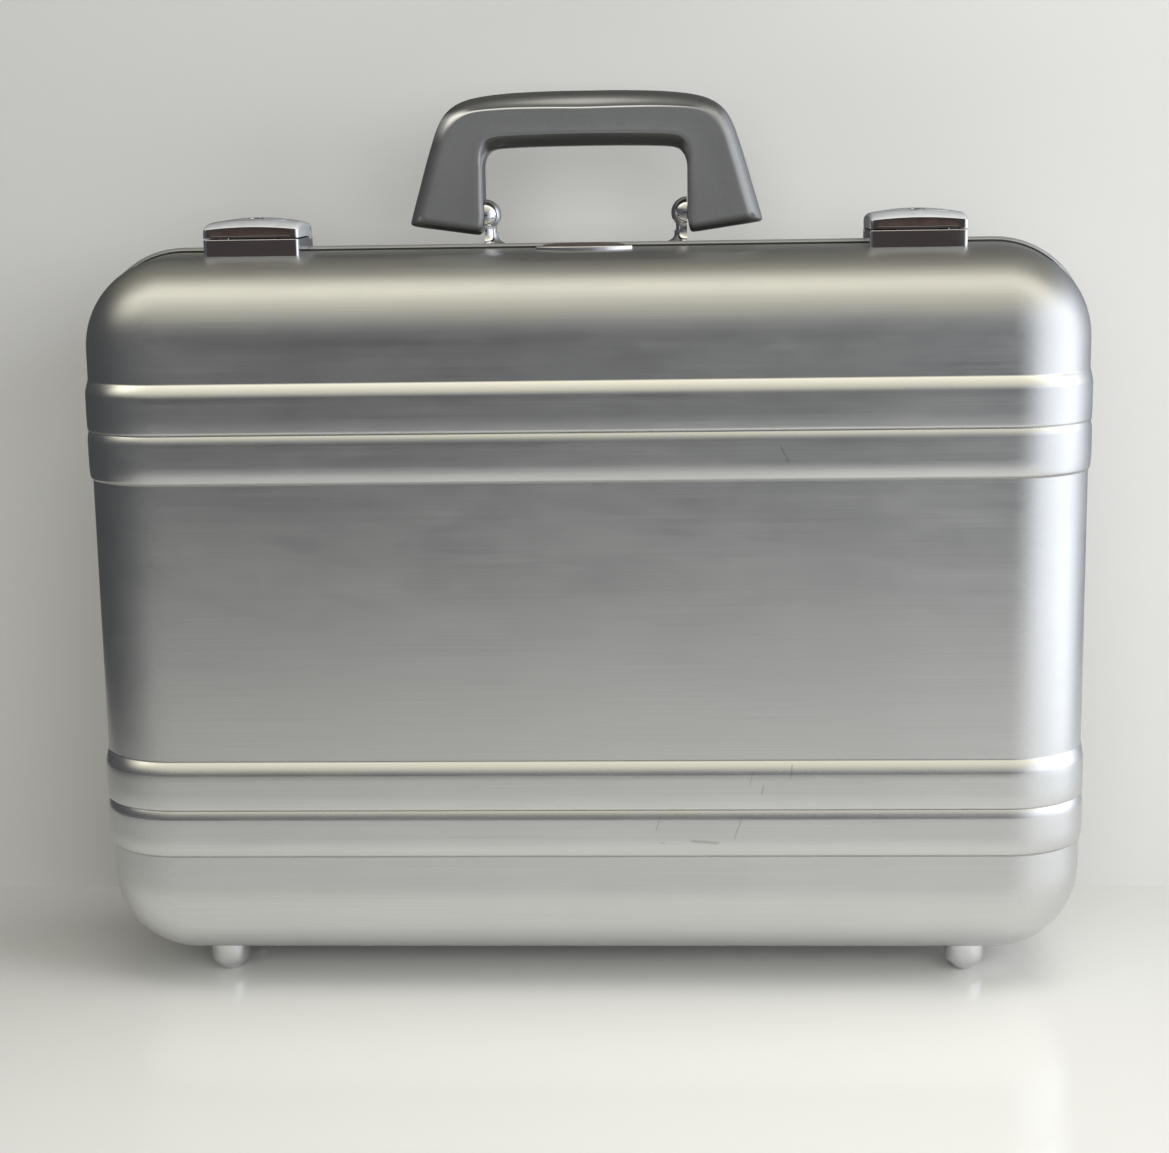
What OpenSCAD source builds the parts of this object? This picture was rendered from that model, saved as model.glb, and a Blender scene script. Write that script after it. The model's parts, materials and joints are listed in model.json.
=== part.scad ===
// Aluminium attache case: two pressed shells, hinged along the bottom edge, standing on four feet.
// X is the width, -Y the lid side, +Z up. The parting plane is y = 0 and the feet stand on z = 0.

/* [Case] */
// Width over both shells at the parting edge
case_w = 457; // [430:1:480]
// Height of the shells at the parting edge, without the feet
case_h = 328.3; // [300:0.1:350]
// Depth of each shell
shell_depth = 63.5; // [60:0.5:70]
// Corner radius at the parting edge
corner_r = 41.5; // [41:0.5:46]
// Radius between the side walls and the big face
edge_r = 38; // [34:0.5:38]
// Draft of the side walls, degrees
draft = 2.5; // [2:0.1:3]
// Thickness of the pressed sheet
wall = 1.6; // [1.2:0.1:1.8]

/* [Ribs] */
// Lower edge of the inner bead, from mid-height
bead_1_low = 65; // [62:0.5:67]
// Upper edge of the inner bead
bead_1_high = 84.5; // [80:0.5:85]
// Lower edge of the outer bead
bead_2_low = 87.5; // [87:0.5:90]
// Upper edge of the outer bead
bead_2_high = 107; // [100:0.5:110]
// Height of a bead over the sheet
bead_h = 1.8; // [1:0.1:2]

/* [Feet and hinge] */
// Height of the feet
foot_h = 13.8; // [12:0.1:16]
// Foot places, from the centre along X
foot_x = 176; // [150:1:180]
// Foot places, from the parting plane along Y
foot_y = 20; // [20:0.5:21]
// Radius of a foot at its top
foot_r = 8.4; // [7:0.1:8.6]
// Drop of the hinge axis below the shells
hinge_drop = 3; // [3:0.1:3.5]
// Number of hinge knuckles
knuckles = 23; // [11:2:23]

/* [Handle] */
// Distance of the handle pivot behind the parting plane
handle_y = 14; // [12:0.5:14]
// Height of the handle pivot over the top edge
pivot_rise = 14.7; // [14:0.1:18]
// Thickness of the grip, front to back
grip_depth = 21; // [18:1:24]
// Half distance between the faces of the two legs
leg_x = 47.3; // [45:0.1:50]

/* [Latches] */
// Latch centres from the middle
latch_x = 150.5; // [140:0.5:155]
// Width of a latch
latch_w = 43.8; // [40:0.2:46]

/* [Hidden] */
$fn = 48;

seam = 0.3;                             // each shell stops this far from the parting plane
mid_x = case_w / 2 - corner_r;          // centre of a corner, from the middle
mid_z = case_h / 2 - corner_r;
centre_z = foot_h + case_h / 2;
top_z = foot_h + case_h;
slope = tan(draft);
arc_steps = 10;
far = 600;                              // larger than the whole case

// ---- Sections: x is the distance from a corner's centre line, y the depth from the parting plane

arc_x = corner_r - (shell_depth - edge_r) * slope - edge_r / cos(draft);
arc_y = shell_depth - edge_r;

function flip(v) = [for (i = [len(v) - 1:-1:0]) v[i]];
function edge_at(inset, depth) = corner_r - depth * slope - inset / cos(draft);
function arc_points(inset) = [
    for (i = [0:arc_steps])
        let (a = draft + (90 - draft) * i / arc_steps)
            [arc_x + (edge_r - inset) * cos(a), arc_y + (edge_r - inset) * sin(a)]
];
function side_path(inset, start) = concat([[edge_at(inset, start), start]], arc_points(inset));
function wall_section(outer, inner, start) = concat(
    side_path(outer, start),
    [[0, shell_depth - outer], [0, shell_depth - inner]],
    flip(side_path(inner, start))
);

// Sweeps a section round the case's rounded outline, in a frame with the depth along +Z
module around() {
    for (turn = [0:3]) {
        long = turn % 2 == 0 ? mid_x : mid_z;
        short = turn % 2 == 0 ? mid_z : mid_x;
        rotate([0, 0, 90 * turn]) {
            translate([long, short, 0]) rotate_extrude(angle = 90, $fn = 96) children();
            translate([long, 0, 0]) rotate([90, 0, 0])
                linear_extrude(2 * short, center = true) children();
        }
    }
}

module as_lid() {
    translate([0, 0, centre_z]) rotate([90, 0, 0]) children();
}

module as_base() {
    translate([0, 0, centre_z]) rotate([90, 0, 180]) children();
}

module left_or_right(side) {
    translate([side * latch_x, 0, 0]) children();
}

// A tray of even thickness between two insets from the outer surface
module tray(outer, inner, start) {
    around() polygon(wall_section(outer, inner, start));
    translate([-mid_x, -mid_z, shell_depth - inner])
        cube([2 * mid_x, 2 * mid_z, inner - outer]);
}

// ---- Shells

bead_start = 9;                         // the beads fade out this far from the parting plane
function right_side(inset) = [
    for (p = side_path(inset, bead_start)) [mid_x + p.x, p.y]
];
function across(inset) = concat(
    right_side(inset),
    flip([for (p = right_side(inset)) [-p.x, p.y]])
);

module bead(low, high) {
    translate([0, high, 0]) rotate([90, 0, 0]) linear_extrude(high - low)
        polygon(concat(across(-bead_h), flip(across(wall / 2))));
}

module pressed_shell() {
    tray(0, wall, seam);
    for (side = [0, 1]) mirror([0, side, 0]) {
        bead(bead_1_low, bead_1_high);
        bead(bead_2_low, bead_2_high);
    }
}

hinge_rivet_step = 46;
hinge_rivet_y = 8;
rivet_r = 1.2;
screw_r = 1.9;
hole_gap = 0.05;                        // radial clearance of a fastener in its hole

module each_hinge_rivet(way) {
    for (i = [-3.5:3.5]) translate([i * hinge_rivet_step, way * hinge_rivet_y, 0]) children();
}

module each_foot(way) {
    for (side = [-1, 1]) translate([side * foot_x, way * foot_y, 0]) children();
}

module drill(r, low, high) {
    translate([0, 0, low]) cylinder(r = r + hole_gap, h = high - low);
}

latch_rivet_x = 13;
latch_base_rivet_y = 8;
keeper_rivet_y = -20;
post_screw_x = 43;

module each_latch_rivet(y) {
    for (side = [-1, 1], part = [-1, 1])
        translate([side * latch_x + part * latch_rivet_x, y, 0]) children();
}

module each_post_screw() {
    for (side = [-1, 1]) translate([side * post_screw_x, handle_y, 0]) children();
}

module base_shell() {
    color([0.72, 0.72, 0.71]) difference() {
        as_base() pressed_shell();
        each_hinge_rivet(1) drill(rivet_r, foot_h - 2, foot_h + 8);
        each_foot(1) drill(screw_r, foot_h - 2, foot_h + 8);
        each_latch_rivet(latch_base_rivet_y) drill(rivet_r, top_z - 8, top_z + 2);
        each_post_screw() drill(screw_r, top_z - 8, top_z + 2);
    }
}

module lid_shell() {
    color([0.72, 0.72, 0.71]) difference() {
        as_lid() pressed_shell();
        each_hinge_rivet(-1) drill(rivet_r, foot_h - 2, foot_h + 8);
        each_foot(-1) drill(screw_r, foot_h - 2, foot_h + 8);
        each_latch_rivet(keeper_rivet_y) drill(rivet_r, top_z - 8, top_z + 2);
    }
}

// ---- Frames with the tongue and groove

frame_inset = wall + 0.05;
frame_w = 5.5;
frame_start = 0.2;
frame_block = 5.8;                      // depth of the thick part
frame_depth = 10.2;                     // depth of the web against the shell
web = 2;
groove_r = corner_r - frame_inset - frame_w / 2;
groove_half = 1.25;
groove_depth = 4.6;
tongue_half = 0.95;
tongue_reach = 3;

module frame_section() {
    polygon([
        [edge_at(frame_inset, frame_start), frame_start],
        [edge_at(frame_inset, frame_depth), frame_depth],
        [edge_at(frame_inset + web, frame_depth), frame_depth],
        [edge_at(frame_inset + web, frame_block), frame_block],
        [edge_at(frame_inset + frame_w, frame_block), frame_block],
        [edge_at(frame_inset + frame_w, frame_start), frame_start]
    ]);
}

module base_frame() {
    color([0.62, 0.62, 0.62]) difference() {
        as_base() around() difference() {
            frame_section();
            translate([groove_r - groove_half, 0]) square([2 * groove_half, groove_depth]);
        }
        each_hinge_rivet(1) drill(rivet_r, foot_h - 2, foot_h + 8);
        each_latch_rivet(latch_base_rivet_y) drill(rivet_r, top_z - 10, top_z + 2);
    }
}

module rim_gasket() {
    color([0.1, 0.1, 0.1]) as_base() around()
        translate([groove_r - groove_half + 0.05, groove_depth - 1.25])
            square([2 * groove_half - 0.1, 1.2]);
}

module lid_frame() {
    color([0.62, 0.62, 0.62]) {
        difference() {
            as_lid() around() frame_section();
            each_hinge_rivet(-1) drill(rivet_r, foot_h - 2, foot_h + 8);
        }
        // The tongue stops above the bottom corners, so that it clears the groove as the lid turns
        difference() {
            as_lid() around()
                translate([groove_r - tongue_half, -tongue_reach])
                    square([2 * tongue_half, tongue_reach + frame_start + 0.5]);
            translate([-far / 2, -far / 2, centre_z - mid_z - far]) cube(far);
        }
    }
}

// ---- Linings

liner_gap = 0.3;
liner_t = 2;
liner_start = 11;
screw_relief_r = 5;

module liner() {
    tray(wall + liner_gap, wall + liner_gap + liner_t, liner_start);
}

module base_liner() {
    color([0.2, 0.2, 0.22]) difference() {
        as_base() liner();
        each_foot(1) drill(screw_relief_r, foot_h, foot_h + 9);
        each_post_screw() drill(screw_relief_r, top_z - 9, top_z);
    }
}

module lid_liner() {
    color([0.2, 0.2, 0.22]) difference() {
        as_lid() liner();
        each_foot(-1) drill(screw_relief_r, foot_h, foot_h + 9);
        each_latch_rivet(keeper_rivet_y) drill(screw_relief_r, top_z - 9, top_z);
    }
}

// ---- Solids that trim hardware to the drafted walls, top and bottom

trim_reach = arc_y + 6;
trim_depth = 40;

// The case's section between its top or bottom wall's outer face and a line inside it
module under_wall_slopes(level, way) {
    rotate([90, 0, 90]) translate([0, 0, -far / 2]) linear_extrude(far) polygon([
        [-trim_reach, level - way * trim_reach * slope],
        [0, level],
        [trim_reach, level - way * trim_reach * slope],
        [trim_reach, level - way * trim_depth],
        [-trim_reach, level - way * trim_depth]
    ]);
}

module under_top_wall() { under_wall_slopes(top_z, 1); }
module over_bottom_wall() { under_wall_slopes(foot_h, -1); }

// ---- Feet

screw_into_foot = 6;

module foot() {
    rotate_extrude() polygon([
        [0, 0], [3.6, 0], [5.6, 0.9], [6.9, 2.4], [7.5, 4.4], [foot_r, foot_h - 1.4],
        [foot_r, foot_h + 3], [0, foot_h + 3]
    ]);
}

module feet(way) {
    color([0.8, 0.8, 0.8]) difference() {
        each_foot(way) foot();
        over_bottom_wall();
        each_foot(way) drill(screw_r, foot_h - screw_into_foot, foot_h + 5);
    }
}

// Screw with its head inside the case, over the bottom wall
module foot_screws(way) {
    color([0.55, 0.55, 0.56]) each_foot(way) {
        translate([0, 0, foot_h - screw_into_foot + 0.3])
            cylinder(r = screw_r, h = screw_into_foot + 2.6);
        translate([0, 0, foot_h + 2.8]) difference() {
            cylinder(r = 3.6, h = 1.8);
            for (turn = [0, 90]) rotate([0, 0, turn])
                translate([-2.4, -0.4, 1]) cube([4.8, 0.8, 1]);
        }
    }
}

module rear_feet() { feet(1); }
module front_feet() { feet(-1); }
module rear_foot_screws() { foot_screws(1); }
module front_foot_screws() { foot_screws(-1); }

// ---- Piano hinge

hinge_z = foot_h - hinge_drop;
knuckle_r = 2.7;
hinge_pin_r = 1.25;
hinge_half = 184;
leaf_inner = 3.2;
leaf_outer = 11.2;
leaf_t = 1;
knuckle_gap = 0.3;
knuckle_step = 2 * hinge_half / knuckles;

function under_wall(y) = foot_h + y * slope;

module hinge_leaf(first) {
    difference() {
        union() {
            rotate([90, 0, 90]) translate([0, 0, -hinge_half]) linear_extrude(2 * hinge_half)
                polygon([
                    [leaf_inner, under_wall(leaf_inner)],
                    [leaf_outer, under_wall(leaf_outer)],
                    [leaf_outer, under_wall(leaf_outer) - leaf_t],
                    [leaf_inner, under_wall(leaf_inner) - leaf_t - 0.4]
                ]);
            for (i = [first:2:knuckles - 1])
                translate([-hinge_half + i * knuckle_step + knuckle_gap / 2, 0, hinge_z]) {
                    rotate([0, 90, 0]) cylinder(r = knuckle_r, h = knuckle_step - knuckle_gap);
                    translate([0, 0, knuckle_r - 1])
                        cube([knuckle_step - knuckle_gap, leaf_inner + 0.5, 1]);
                }
        }
        translate([-far / 2, 0, hinge_z]) rotate([0, 90, 0])
            cylinder(r = hinge_pin_r + hole_gap, h = far);
        each_hinge_rivet(1) drill(rivet_r, foot_h - 3, foot_h + 3);
    }
}

module hinge_leaf_base() { color([0.6, 0.6, 0.6]) hinge_leaf(0); }
module hinge_leaf_lid() { color([0.6, 0.6, 0.6]) mirror([0, 1, 0]) hinge_leaf(1); }

module hinge_pin() {
    color([0.5, 0.5, 0.5]) translate([-hinge_half - 0.5, 0, hinge_z]) rotate([0, 90, 0])
        cylinder(r = hinge_pin_r, h = 2 * hinge_half + 1);
}

module hinge_rivets(way) {
    color([0.75, 0.75, 0.75]) each_hinge_rivet(way) {
        translate([0, 0, foot_h - 1.95]) cylinder(r1 = 1.6, r2 = 2.3, h = 0.8);
        translate([0, 0, foot_h - 1.3]) cylinder(r = rivet_r, h = 5.9);
        translate([0, 0, foot_h + 4.3]) cylinder(r = 1.8, h = 0.8);
    }
}

module hinge_rivets_base() { hinge_rivets(1); }
module hinge_rivets_lid() { hinge_rivets(-1); }

// ---- Handle

pivot_z = top_z + pivot_rise;
post_face_x = leg_x - 0.3;
pivot_pin_r = 3;
post_ball_r = 7.3;
post_neck_r = 5.9;
post_flange_r = 9.3;
pin_in_post = 5;
pin_in_leg = 12;

// Half-round post: a flange, a waist and a ball, cut flat where the grip's leg turns against it
module handle_post(side) {
    color([0.8, 0.8, 0.82]) difference() {
        translate([side * post_face_x, handle_y, 0]) difference() {
            union() {
                rotate_extrude() polygon([
                    [0, top_z - 3], [post_flange_r, top_z - 3], [post_flange_r, top_z + 1.4],
                    [post_flange_r - 0.6, top_z + 2.1], [post_neck_r + 1.2, top_z + 3.2],
                    [post_neck_r, top_z + 5.6], [post_neck_r, pivot_z], [0, pivot_z]
                ]);
                translate([0, 0, pivot_z]) sphere(r = post_ball_r);
            }
            translate([side > 0 ? 0 : -far, -far / 2, 0]) cube(far);
        }
        under_top_wall();
        translate([side * (post_face_x - pin_in_post), handle_y, pivot_z])
            rotate([0, side * 90, 0]) cylinder(r = pivot_pin_r + hole_gap, h = 20);
        translate([side * post_screw_x, handle_y, 0]) drill(screw_r, top_z - 3, top_z + 7);
    }
}

module handle_post_left() { handle_post(-1); }
module handle_post_right() { handle_post(1); }

module handle_post_screws() {
    color([0.55, 0.55, 0.56]) each_post_screw() {
        translate([0, 0, top_z - 3.4]) cylinder(r = screw_r, h = 10);
        translate([0, 0, top_z - 4.8]) difference() {
            cylinder(r = 3.4, h = 1.8);
            for (turn = [0, 90]) rotate([0, 0, turn])
                translate([-2.4, -0.4, -1]) cube([4.8, 0.8, 1.9]);
        }
    }
}

// Right half of the grip's outline, from the middle of the top round to the middle of the underside
grip_half = [
    [0, 56.2], [18, 56.1], [36, 55.4], [50, 53.8], [58.5, 51.2], [64.5, 46.8], [68.4, 40.5],
    [71.2, 33], [77.3, 13], [82.2, -3.8], [81.8, -5.6], [80.2, -6], [50.6, -9.2], [48.2, -8.8],
    [leg_x, -6.8], [leg_x, 22.5], [46.4, 26.2], [44.2, 28.8], [40.6, 30.2], [0, 31]
];

module handle_grip() {
    color([0.42, 0.43, 0.44]) difference() {
        translate([0, handle_y + grip_depth / 2, pivot_z]) rotate([90, 0, 0])
            linear_extrude(grip_depth)
                polygon(concat(grip_half, flip([for (p = grip_half) [-p.x, p.y]])));
        for (side = [-1, 1])
            translate([side * (leg_x - 1), handle_y, pivot_z]) rotate([0, side * 90, 0])
                cylinder(r = pivot_pin_r + 0.03, h = pin_in_leg + 1.2);
    }
}

module handle_pivot_pins() {
    color([0.6, 0.6, 0.62]) for (side = [-1, 1])
        translate([side * (post_face_x - pin_in_post + 0.3), handle_y, pivot_z])
            rotate([0, side * 90, 0]) cylinder(r = pivot_pin_r, h = pin_in_post + pin_in_leg);
}

// ---- Latches, drawn about x = 0 and moved out to each side

latch_front = 25.4;                     // front of the latch, before the parting plane
latch_back = 13;                        // back of the latch's base
latch_gap = 0.6;                        // each half stops this far from the parting plane
cheek = 2;
sill_z = top_z + 6.5;                   // top of the fixed halves
plate_z = top_z + 1.2;                  // top of the plates they stand on
latch_pivot = [7.5, top_z + 9.4];       // y and z of the lever's pivot
lever_back_r = 5.6;
lever_wall = 1.9;
latch_pin_r = 1.5;
ear_x = 17.6;                           // inner face of an ear
ear_t = 1.8;
ear_r = 3.4;
claw_pivot = [-2, top_z + 10.5];
claw_pin_r = 1;
lug_x = 9.6;
lug_t = 1.9;
lock_y = -12;
lock_r = 4;
lip_y = -13.5;

module across_latch(half, r, place) {
    translate([-half, place.x, place.y]) rotate([0, 90, 0]) cylinder(r = r, h = 2 * half);
}

module latch_base() {
    color([0.78, 0.78, 0.8]) difference() {
        union() {
            difference() {
                union() {
                    translate([-latch_w / 2, latch_gap, top_z - 3])
                        cube([latch_w, latch_back - latch_gap, plate_z - top_z + 3]);
                    for (side = [0, 1]) mirror([side, 0, 0])
                        translate([latch_w / 2 - cheek, latch_gap, top_z - 3])
                            cube([cheek, latch_back - latch_gap, sill_z - top_z + 3]);
                }
                across_latch(latch_w, lever_back_r + 0.4, latch_pivot);
            }
            for (side = [0, 1]) mirror([side, 0, 0]) {
                translate([ear_x, latch_pivot.x - ear_r, plate_z - 1])
                    cube([ear_t, 2 * ear_r, latch_pivot.y - plate_z + 1]);
                translate([ear_x, latch_pivot.x, latch_pivot.y]) rotate([0, 90, 0])
                    cylinder(r = ear_r, h = ear_t);
            }
        }
        across_latch(latch_w, latch_pin_r + hole_gap, latch_pivot);
    }
}

module trimmed_latch_base(side) {
    difference() {
        left_or_right(side) latch_base();
        under_top_wall();
        each_latch_rivet(latch_base_rivet_y) drill(rivet_r, top_z - 4, top_z + 3);
    }
}

module latch_base_left() { trimmed_latch_base(-1); }
module latch_base_right() { trimmed_latch_base(1); }

module latch_rivets(y, low) {
    color([0.75, 0.75, 0.75]) each_latch_rivet(y) {
        translate([0, 0, plate_z]) cylinder(r1 = 2.3, r2 = 1.5, h = 0.8);
        translate([0, 0, low]) cylinder(r = rivet_r, h = plate_z - low + 0.2);
        translate([0, 0, low - 0.7]) cylinder(r = 1.9, h = 0.8);
    }
}

module latch_base_rivets() { latch_rivets(latch_base_rivet_y, top_z - 4.3); }
module latch_keeper_rivets() { latch_rivets(keeper_rivet_y, top_z - 3.2); }

module latch_pin() {
    color([0.6, 0.6, 0.62]) across_latch(latch_w / 2 - 0.2, latch_pin_r, latch_pivot);
}

module latch_pin_left() { left_or_right(-1) latch_pin(); }
module latch_pin_right() { left_or_right(1) latch_pin(); }

// Tray on the lid with the lip that the claw hooks behind
module latch_keeper() {
    translate([-latch_w / 2, -latch_front, top_z - 3]) difference() {
        cube([latch_w, latch_front - latch_gap, sill_z - top_z + 3]);
        translate([cheek, cheek, plate_z - top_z + 3])
            cube([latch_w - 2 * cheek, latch_front, 20]);
    }
    translate([-14, lip_y, plate_z - 1]) cube([28, 1.5, sill_z - plate_z]);
}

module trimmed_keeper(side) {
    color([0.78, 0.78, 0.8]) difference() {
        left_or_right(side) latch_keeper();
        under_top_wall();
        each_latch_rivet(keeper_rivet_y) drill(rivet_r, top_z - 4, top_z + 3);
    }
}

module latch_keeper_left() { trimmed_keeper(-1); }
module latch_keeper_right() { trimmed_keeper(1); }

lever_low = sill_z + 0.6;
// Side view of the lever's cover: y, and height over its lower edge
lever_roof = [
    [-latch_front, 0], [-latch_front, 5.2], [-22, 6.6], [-17, 7.7], [-10, 8.5], [-3, 8.7], [3, 8.3],
    [latch_pivot.x, latch_pivot.y + lever_back_r - lever_low]
];

module lever_side(inset) {
    translate([0, lever_low]) polygon(concat(
        [for (p = lever_roof) [max(p.x, inset - latch_front), max(p.y - inset, 0)]],
        [[latch_pivot.x, 0]]
    ));
    translate(latch_pivot) circle(r = lever_back_r - inset);
}

module across_lever(half) {
    translate([-half, 0, 0]) rotate([90, 0, 90]) linear_extrude(2 * half) children();
}

module latch_lever() {
    color([0.8, 0.8, 0.83]) {
        difference() {
            across_lever(latch_w / 2) lever_side(0);
            across_lever(latch_w / 2 - lever_wall) lever_side(lever_wall);
            // Open underside, and room for the ears as the lever turns
            translate([lever_wall - latch_w / 2, lever_wall + 1.2 - latch_front, lever_low - 9])
                cube([latch_w - 2 * lever_wall, latch_front + 20, 10]);
            for (side = [0, 1]) mirror([side, 0, 0])
                translate([ear_x - 0.4, latch_pivot.x - ear_r - 0.3, latch_pivot.y - 16])
                    cube([ear_t + 0.8, 20, 16 + ear_r + 0.4]);
            across_latch(latch_w, latch_pin_r + hole_gap, latch_pivot);
            translate([0, lock_y, lever_low]) cylinder(r = lock_r + 0.06, h = 20);
        }
        for (side = [0, 1]) mirror([side, 0, 0]) difference() {
            union() {
                translate([lug_x, claw_pivot.x - 2.4, claw_pivot.y]) cube([lug_t, 4.8, 4.6]);
                translate([lug_x, claw_pivot.x, claw_pivot.y]) rotate([0, 90, 0])
                    cylinder(r = 2.4, h = lug_t);
            }
            across_latch(latch_w, claw_pin_r + 0.03, claw_pivot);
        }
    }
}

module latch_lever_left() { left_or_right(-1) latch_lever(); }
module latch_lever_right() { left_or_right(1) latch_lever(); }

module claw_pin() {
    color([0.6, 0.6, 0.62]) across_latch(lug_x + lug_t, claw_pin_r, claw_pivot);
}

module claw_pin_left() { left_or_right(-1) claw_pin(); }
module claw_pin_right() { left_or_right(1) claw_pin(); }

claw_half = 9.2;
claw_reach = 14.6;
hook_t = 1.4;

// Claw, held just clear of the keeper's lip
module latch_claw() {
    color([0.66, 0.66, 0.68]) difference() {
        union() {
            across_latch(claw_half, 2.1, claw_pivot);
            translate([-claw_half, claw_pivot.x - claw_reach, claw_pivot.y - 1.6])
                cube([2 * claw_half, claw_reach, 1.4]);
            translate([-claw_half, claw_pivot.x - claw_reach, sill_z - 0.6])
                cube([2 * claw_half, hook_t, claw_pivot.y - sill_z]);
        }
        across_latch(latch_w, claw_pin_r + hole_gap, claw_pivot);
    }
}

module latch_claw_left() { left_or_right(-1) latch_claw(); }
module latch_claw_right() { left_or_right(1) latch_claw(); }

lock_low = claw_pivot.y + 0.5;
lock_top = lever_low + 8.1;

module lock_plug() {
    color([0.7, 0.7, 0.72]) translate([0, lock_y, 0]) difference() {
        union() {
            translate([0, 0, lock_low]) cylinder(r = lock_r, h = lock_top - lock_low);
            translate([0, 0, lock_low]) cylinder(r = lock_r + 0.9, h = 1);
        }
        translate([-0.5, -2.4, lock_top - 1.6]) cube([1, 4.8, 5]);
    }
}

module lock_plug_left() { left_or_right(-1) lock_plug(); }
module lock_plug_right() { left_or_right(1) lock_plug(); }

// ---- Blank badge on the lid's top wall: the lens shape where two circles cross

badge_half_x = 22;
badge_half_y = 7.5;
badge_y = -12;
badge_rise = 3;
badge_circle_r = (badge_half_x * badge_half_x + badge_half_y * badge_half_y) / (2 * badge_half_y);

module badge_arc(side) {
    translate([0, side * (badge_circle_r - badge_half_y)]) circle(r = badge_circle_r, $fn = 128);
}

module badge_plate() {
    color([0.25, 0.2, 0.18]) difference() {
        translate([0, badge_y, top_z - 3]) linear_extrude(2.5 + badge_rise) intersection() {
            badge_arc(-1);
            badge_arc(1);
        }
        under_top_wall();
    }
}

// ---- Lid stays: a slotted arm turns on the lid and rides on a stud on the base

stay_x = 184;
stay_y = 10;                            // pivot and stud lie this far each side of the parting plane
stay_rise = 30;                         // height of pivot and stud over the hinge axis
stay_z = hinge_z + stay_rise;
stay_t = 1.5;
stay_half_w = 3.6;
lid_open = 95;
stay_r = sqrt(stay_y * stay_y + stay_rise * stay_rise);
stay_slot_end = 2 * stay_r * sin(atan(stay_y / stay_rise) + lid_open / 2);
stay_pin_r = 1.5;
bracket_low = foot_h + 7.6;
bracket_t = 1.5;

// Plate drawn at the origin in the YZ plane, moved to one side's stay
module at_stay(side, offset, thickness) {
    translate([side * (stay_x + offset) - thickness / 2, 0, stay_z]) children();
}

module stay_arm(side) {
    color([0.7, 0.68, 0.6]) at_stay(side, 0, stay_t) rotate([90, 0, 90])
        linear_extrude(stay_t) difference() {
            union() {
                for (y = [0, stay_slot_end + 0.2]) translate([y - stay_y, 0])
                    circle(r = stay_half_w);
                translate([-stay_y, -stay_half_w])
                    square([stay_slot_end + 0.2, 2 * stay_half_w]);
            }
            translate([-stay_y, 0]) circle(r = stay_pin_r + hole_gap);
            for (y = [2 * stay_y - 0.1, stay_slot_end + 0.1]) translate([y - stay_y, 0])
                circle(r = stay_pin_r + 0.08);
            translate([stay_y - 0.1, -stay_pin_r - 0.08])
                square([stay_slot_end - 2 * stay_y + 0.2, 2 * stay_pin_r + 0.16]);
        }
}

module stay_arm_left() { stay_arm(-1); }
module stay_arm_right() { stay_arm(1); }

module stay_bracket(side, way) {
    color([0.6, 0.6, 0.6]) {
        at_stay(side, stay_t / 2 + 0.3 + bracket_t / 2, bracket_t) rotate([90, 0, 90])
            linear_extrude(bracket_t) difference() {
                union() {
                    translate([way * stay_y, 0]) circle(r = 5);
                    polygon([
                        [way * (stay_y - 5), 0], [way * (stay_y + 5), 0],
                        [way * 6.4, bracket_low - stay_z], [way * 0.6, bracket_low - stay_z]
                    ]);
                }
                translate([way * stay_y, 0]) circle(r = stay_pin_r + hole_gap);
            }
        translate([side > 0 ? stay_x + stay_t / 2 + 0.3 : -stay_x - stay_t / 2 - 6.3,
                   way > 0 ? 0.6 : -5.6, bracket_low])
            cube([6, 5, bracket_t]);
    }
}

module stay_bracket_base_left() { stay_bracket(-1, 1); }
module stay_bracket_base_right() { stay_bracket(1, 1); }
module stay_bracket_lid_left() { stay_bracket(-1, -1); }
module stay_bracket_lid_right() { stay_bracket(1, -1); }

module stay_headed_pins(way) {
    color([0.75, 0.75, 0.75]) for (side = [-1, 1])
        translate([side * (stay_x - stay_t / 2 - 1.3), way * stay_y, stay_z])
            rotate([0, side * 90, 0]) {
                cylinder(r = 3, h = 1);
                cylinder(r = stay_pin_r, h = 1.3 + stay_t + 0.3 + bracket_t + 0.4);
            }
}

module stay_studs() { stay_headed_pins(1); }
module stay_pivots() { stay_headed_pins(-1); }

// ---- Organiser in the lid

pocket_back = shell_depth - wall - liner_gap - liner_t - 0.3;
pocket_t = 5;
pocket_half_w = 178;
pocket_low = centre_z - 122;
pocket_high = centre_z + 78;
small_t = 4.5;
small_low = pocket_low + 14;

module document_pocket() {
    color([0.13, 0.12, 0.12])
        translate([-pocket_half_w, -pocket_back, pocket_low])
            cube([2 * pocket_half_w, pocket_t, pocket_high - pocket_low]);
}

module small_pocket(x, w, h) {
    color([0.15, 0.14, 0.14])
        translate([x, -pocket_back + pocket_t + 0.2, small_low]) cube([w, small_t, h]);
}

module accessory_pocket() { small_pocket(22, 138, 112); }
module card_pocket() { small_pocket(-160, 104, 74); }

pen_loop_r = 6.5;

module pen_loops() {
    color([0.13, 0.12, 0.12]) for (i = [0:2])
        translate([-34 + 17 * i, -pocket_back + pocket_t + 0.2 + pen_loop_r, small_low + 62])
            difference() {
                cylinder(r = pen_loop_r, h = 24);
                translate([0, 0, -1]) cylinder(r = pen_loop_r - 1.4, h = 26);
            }
}

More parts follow.
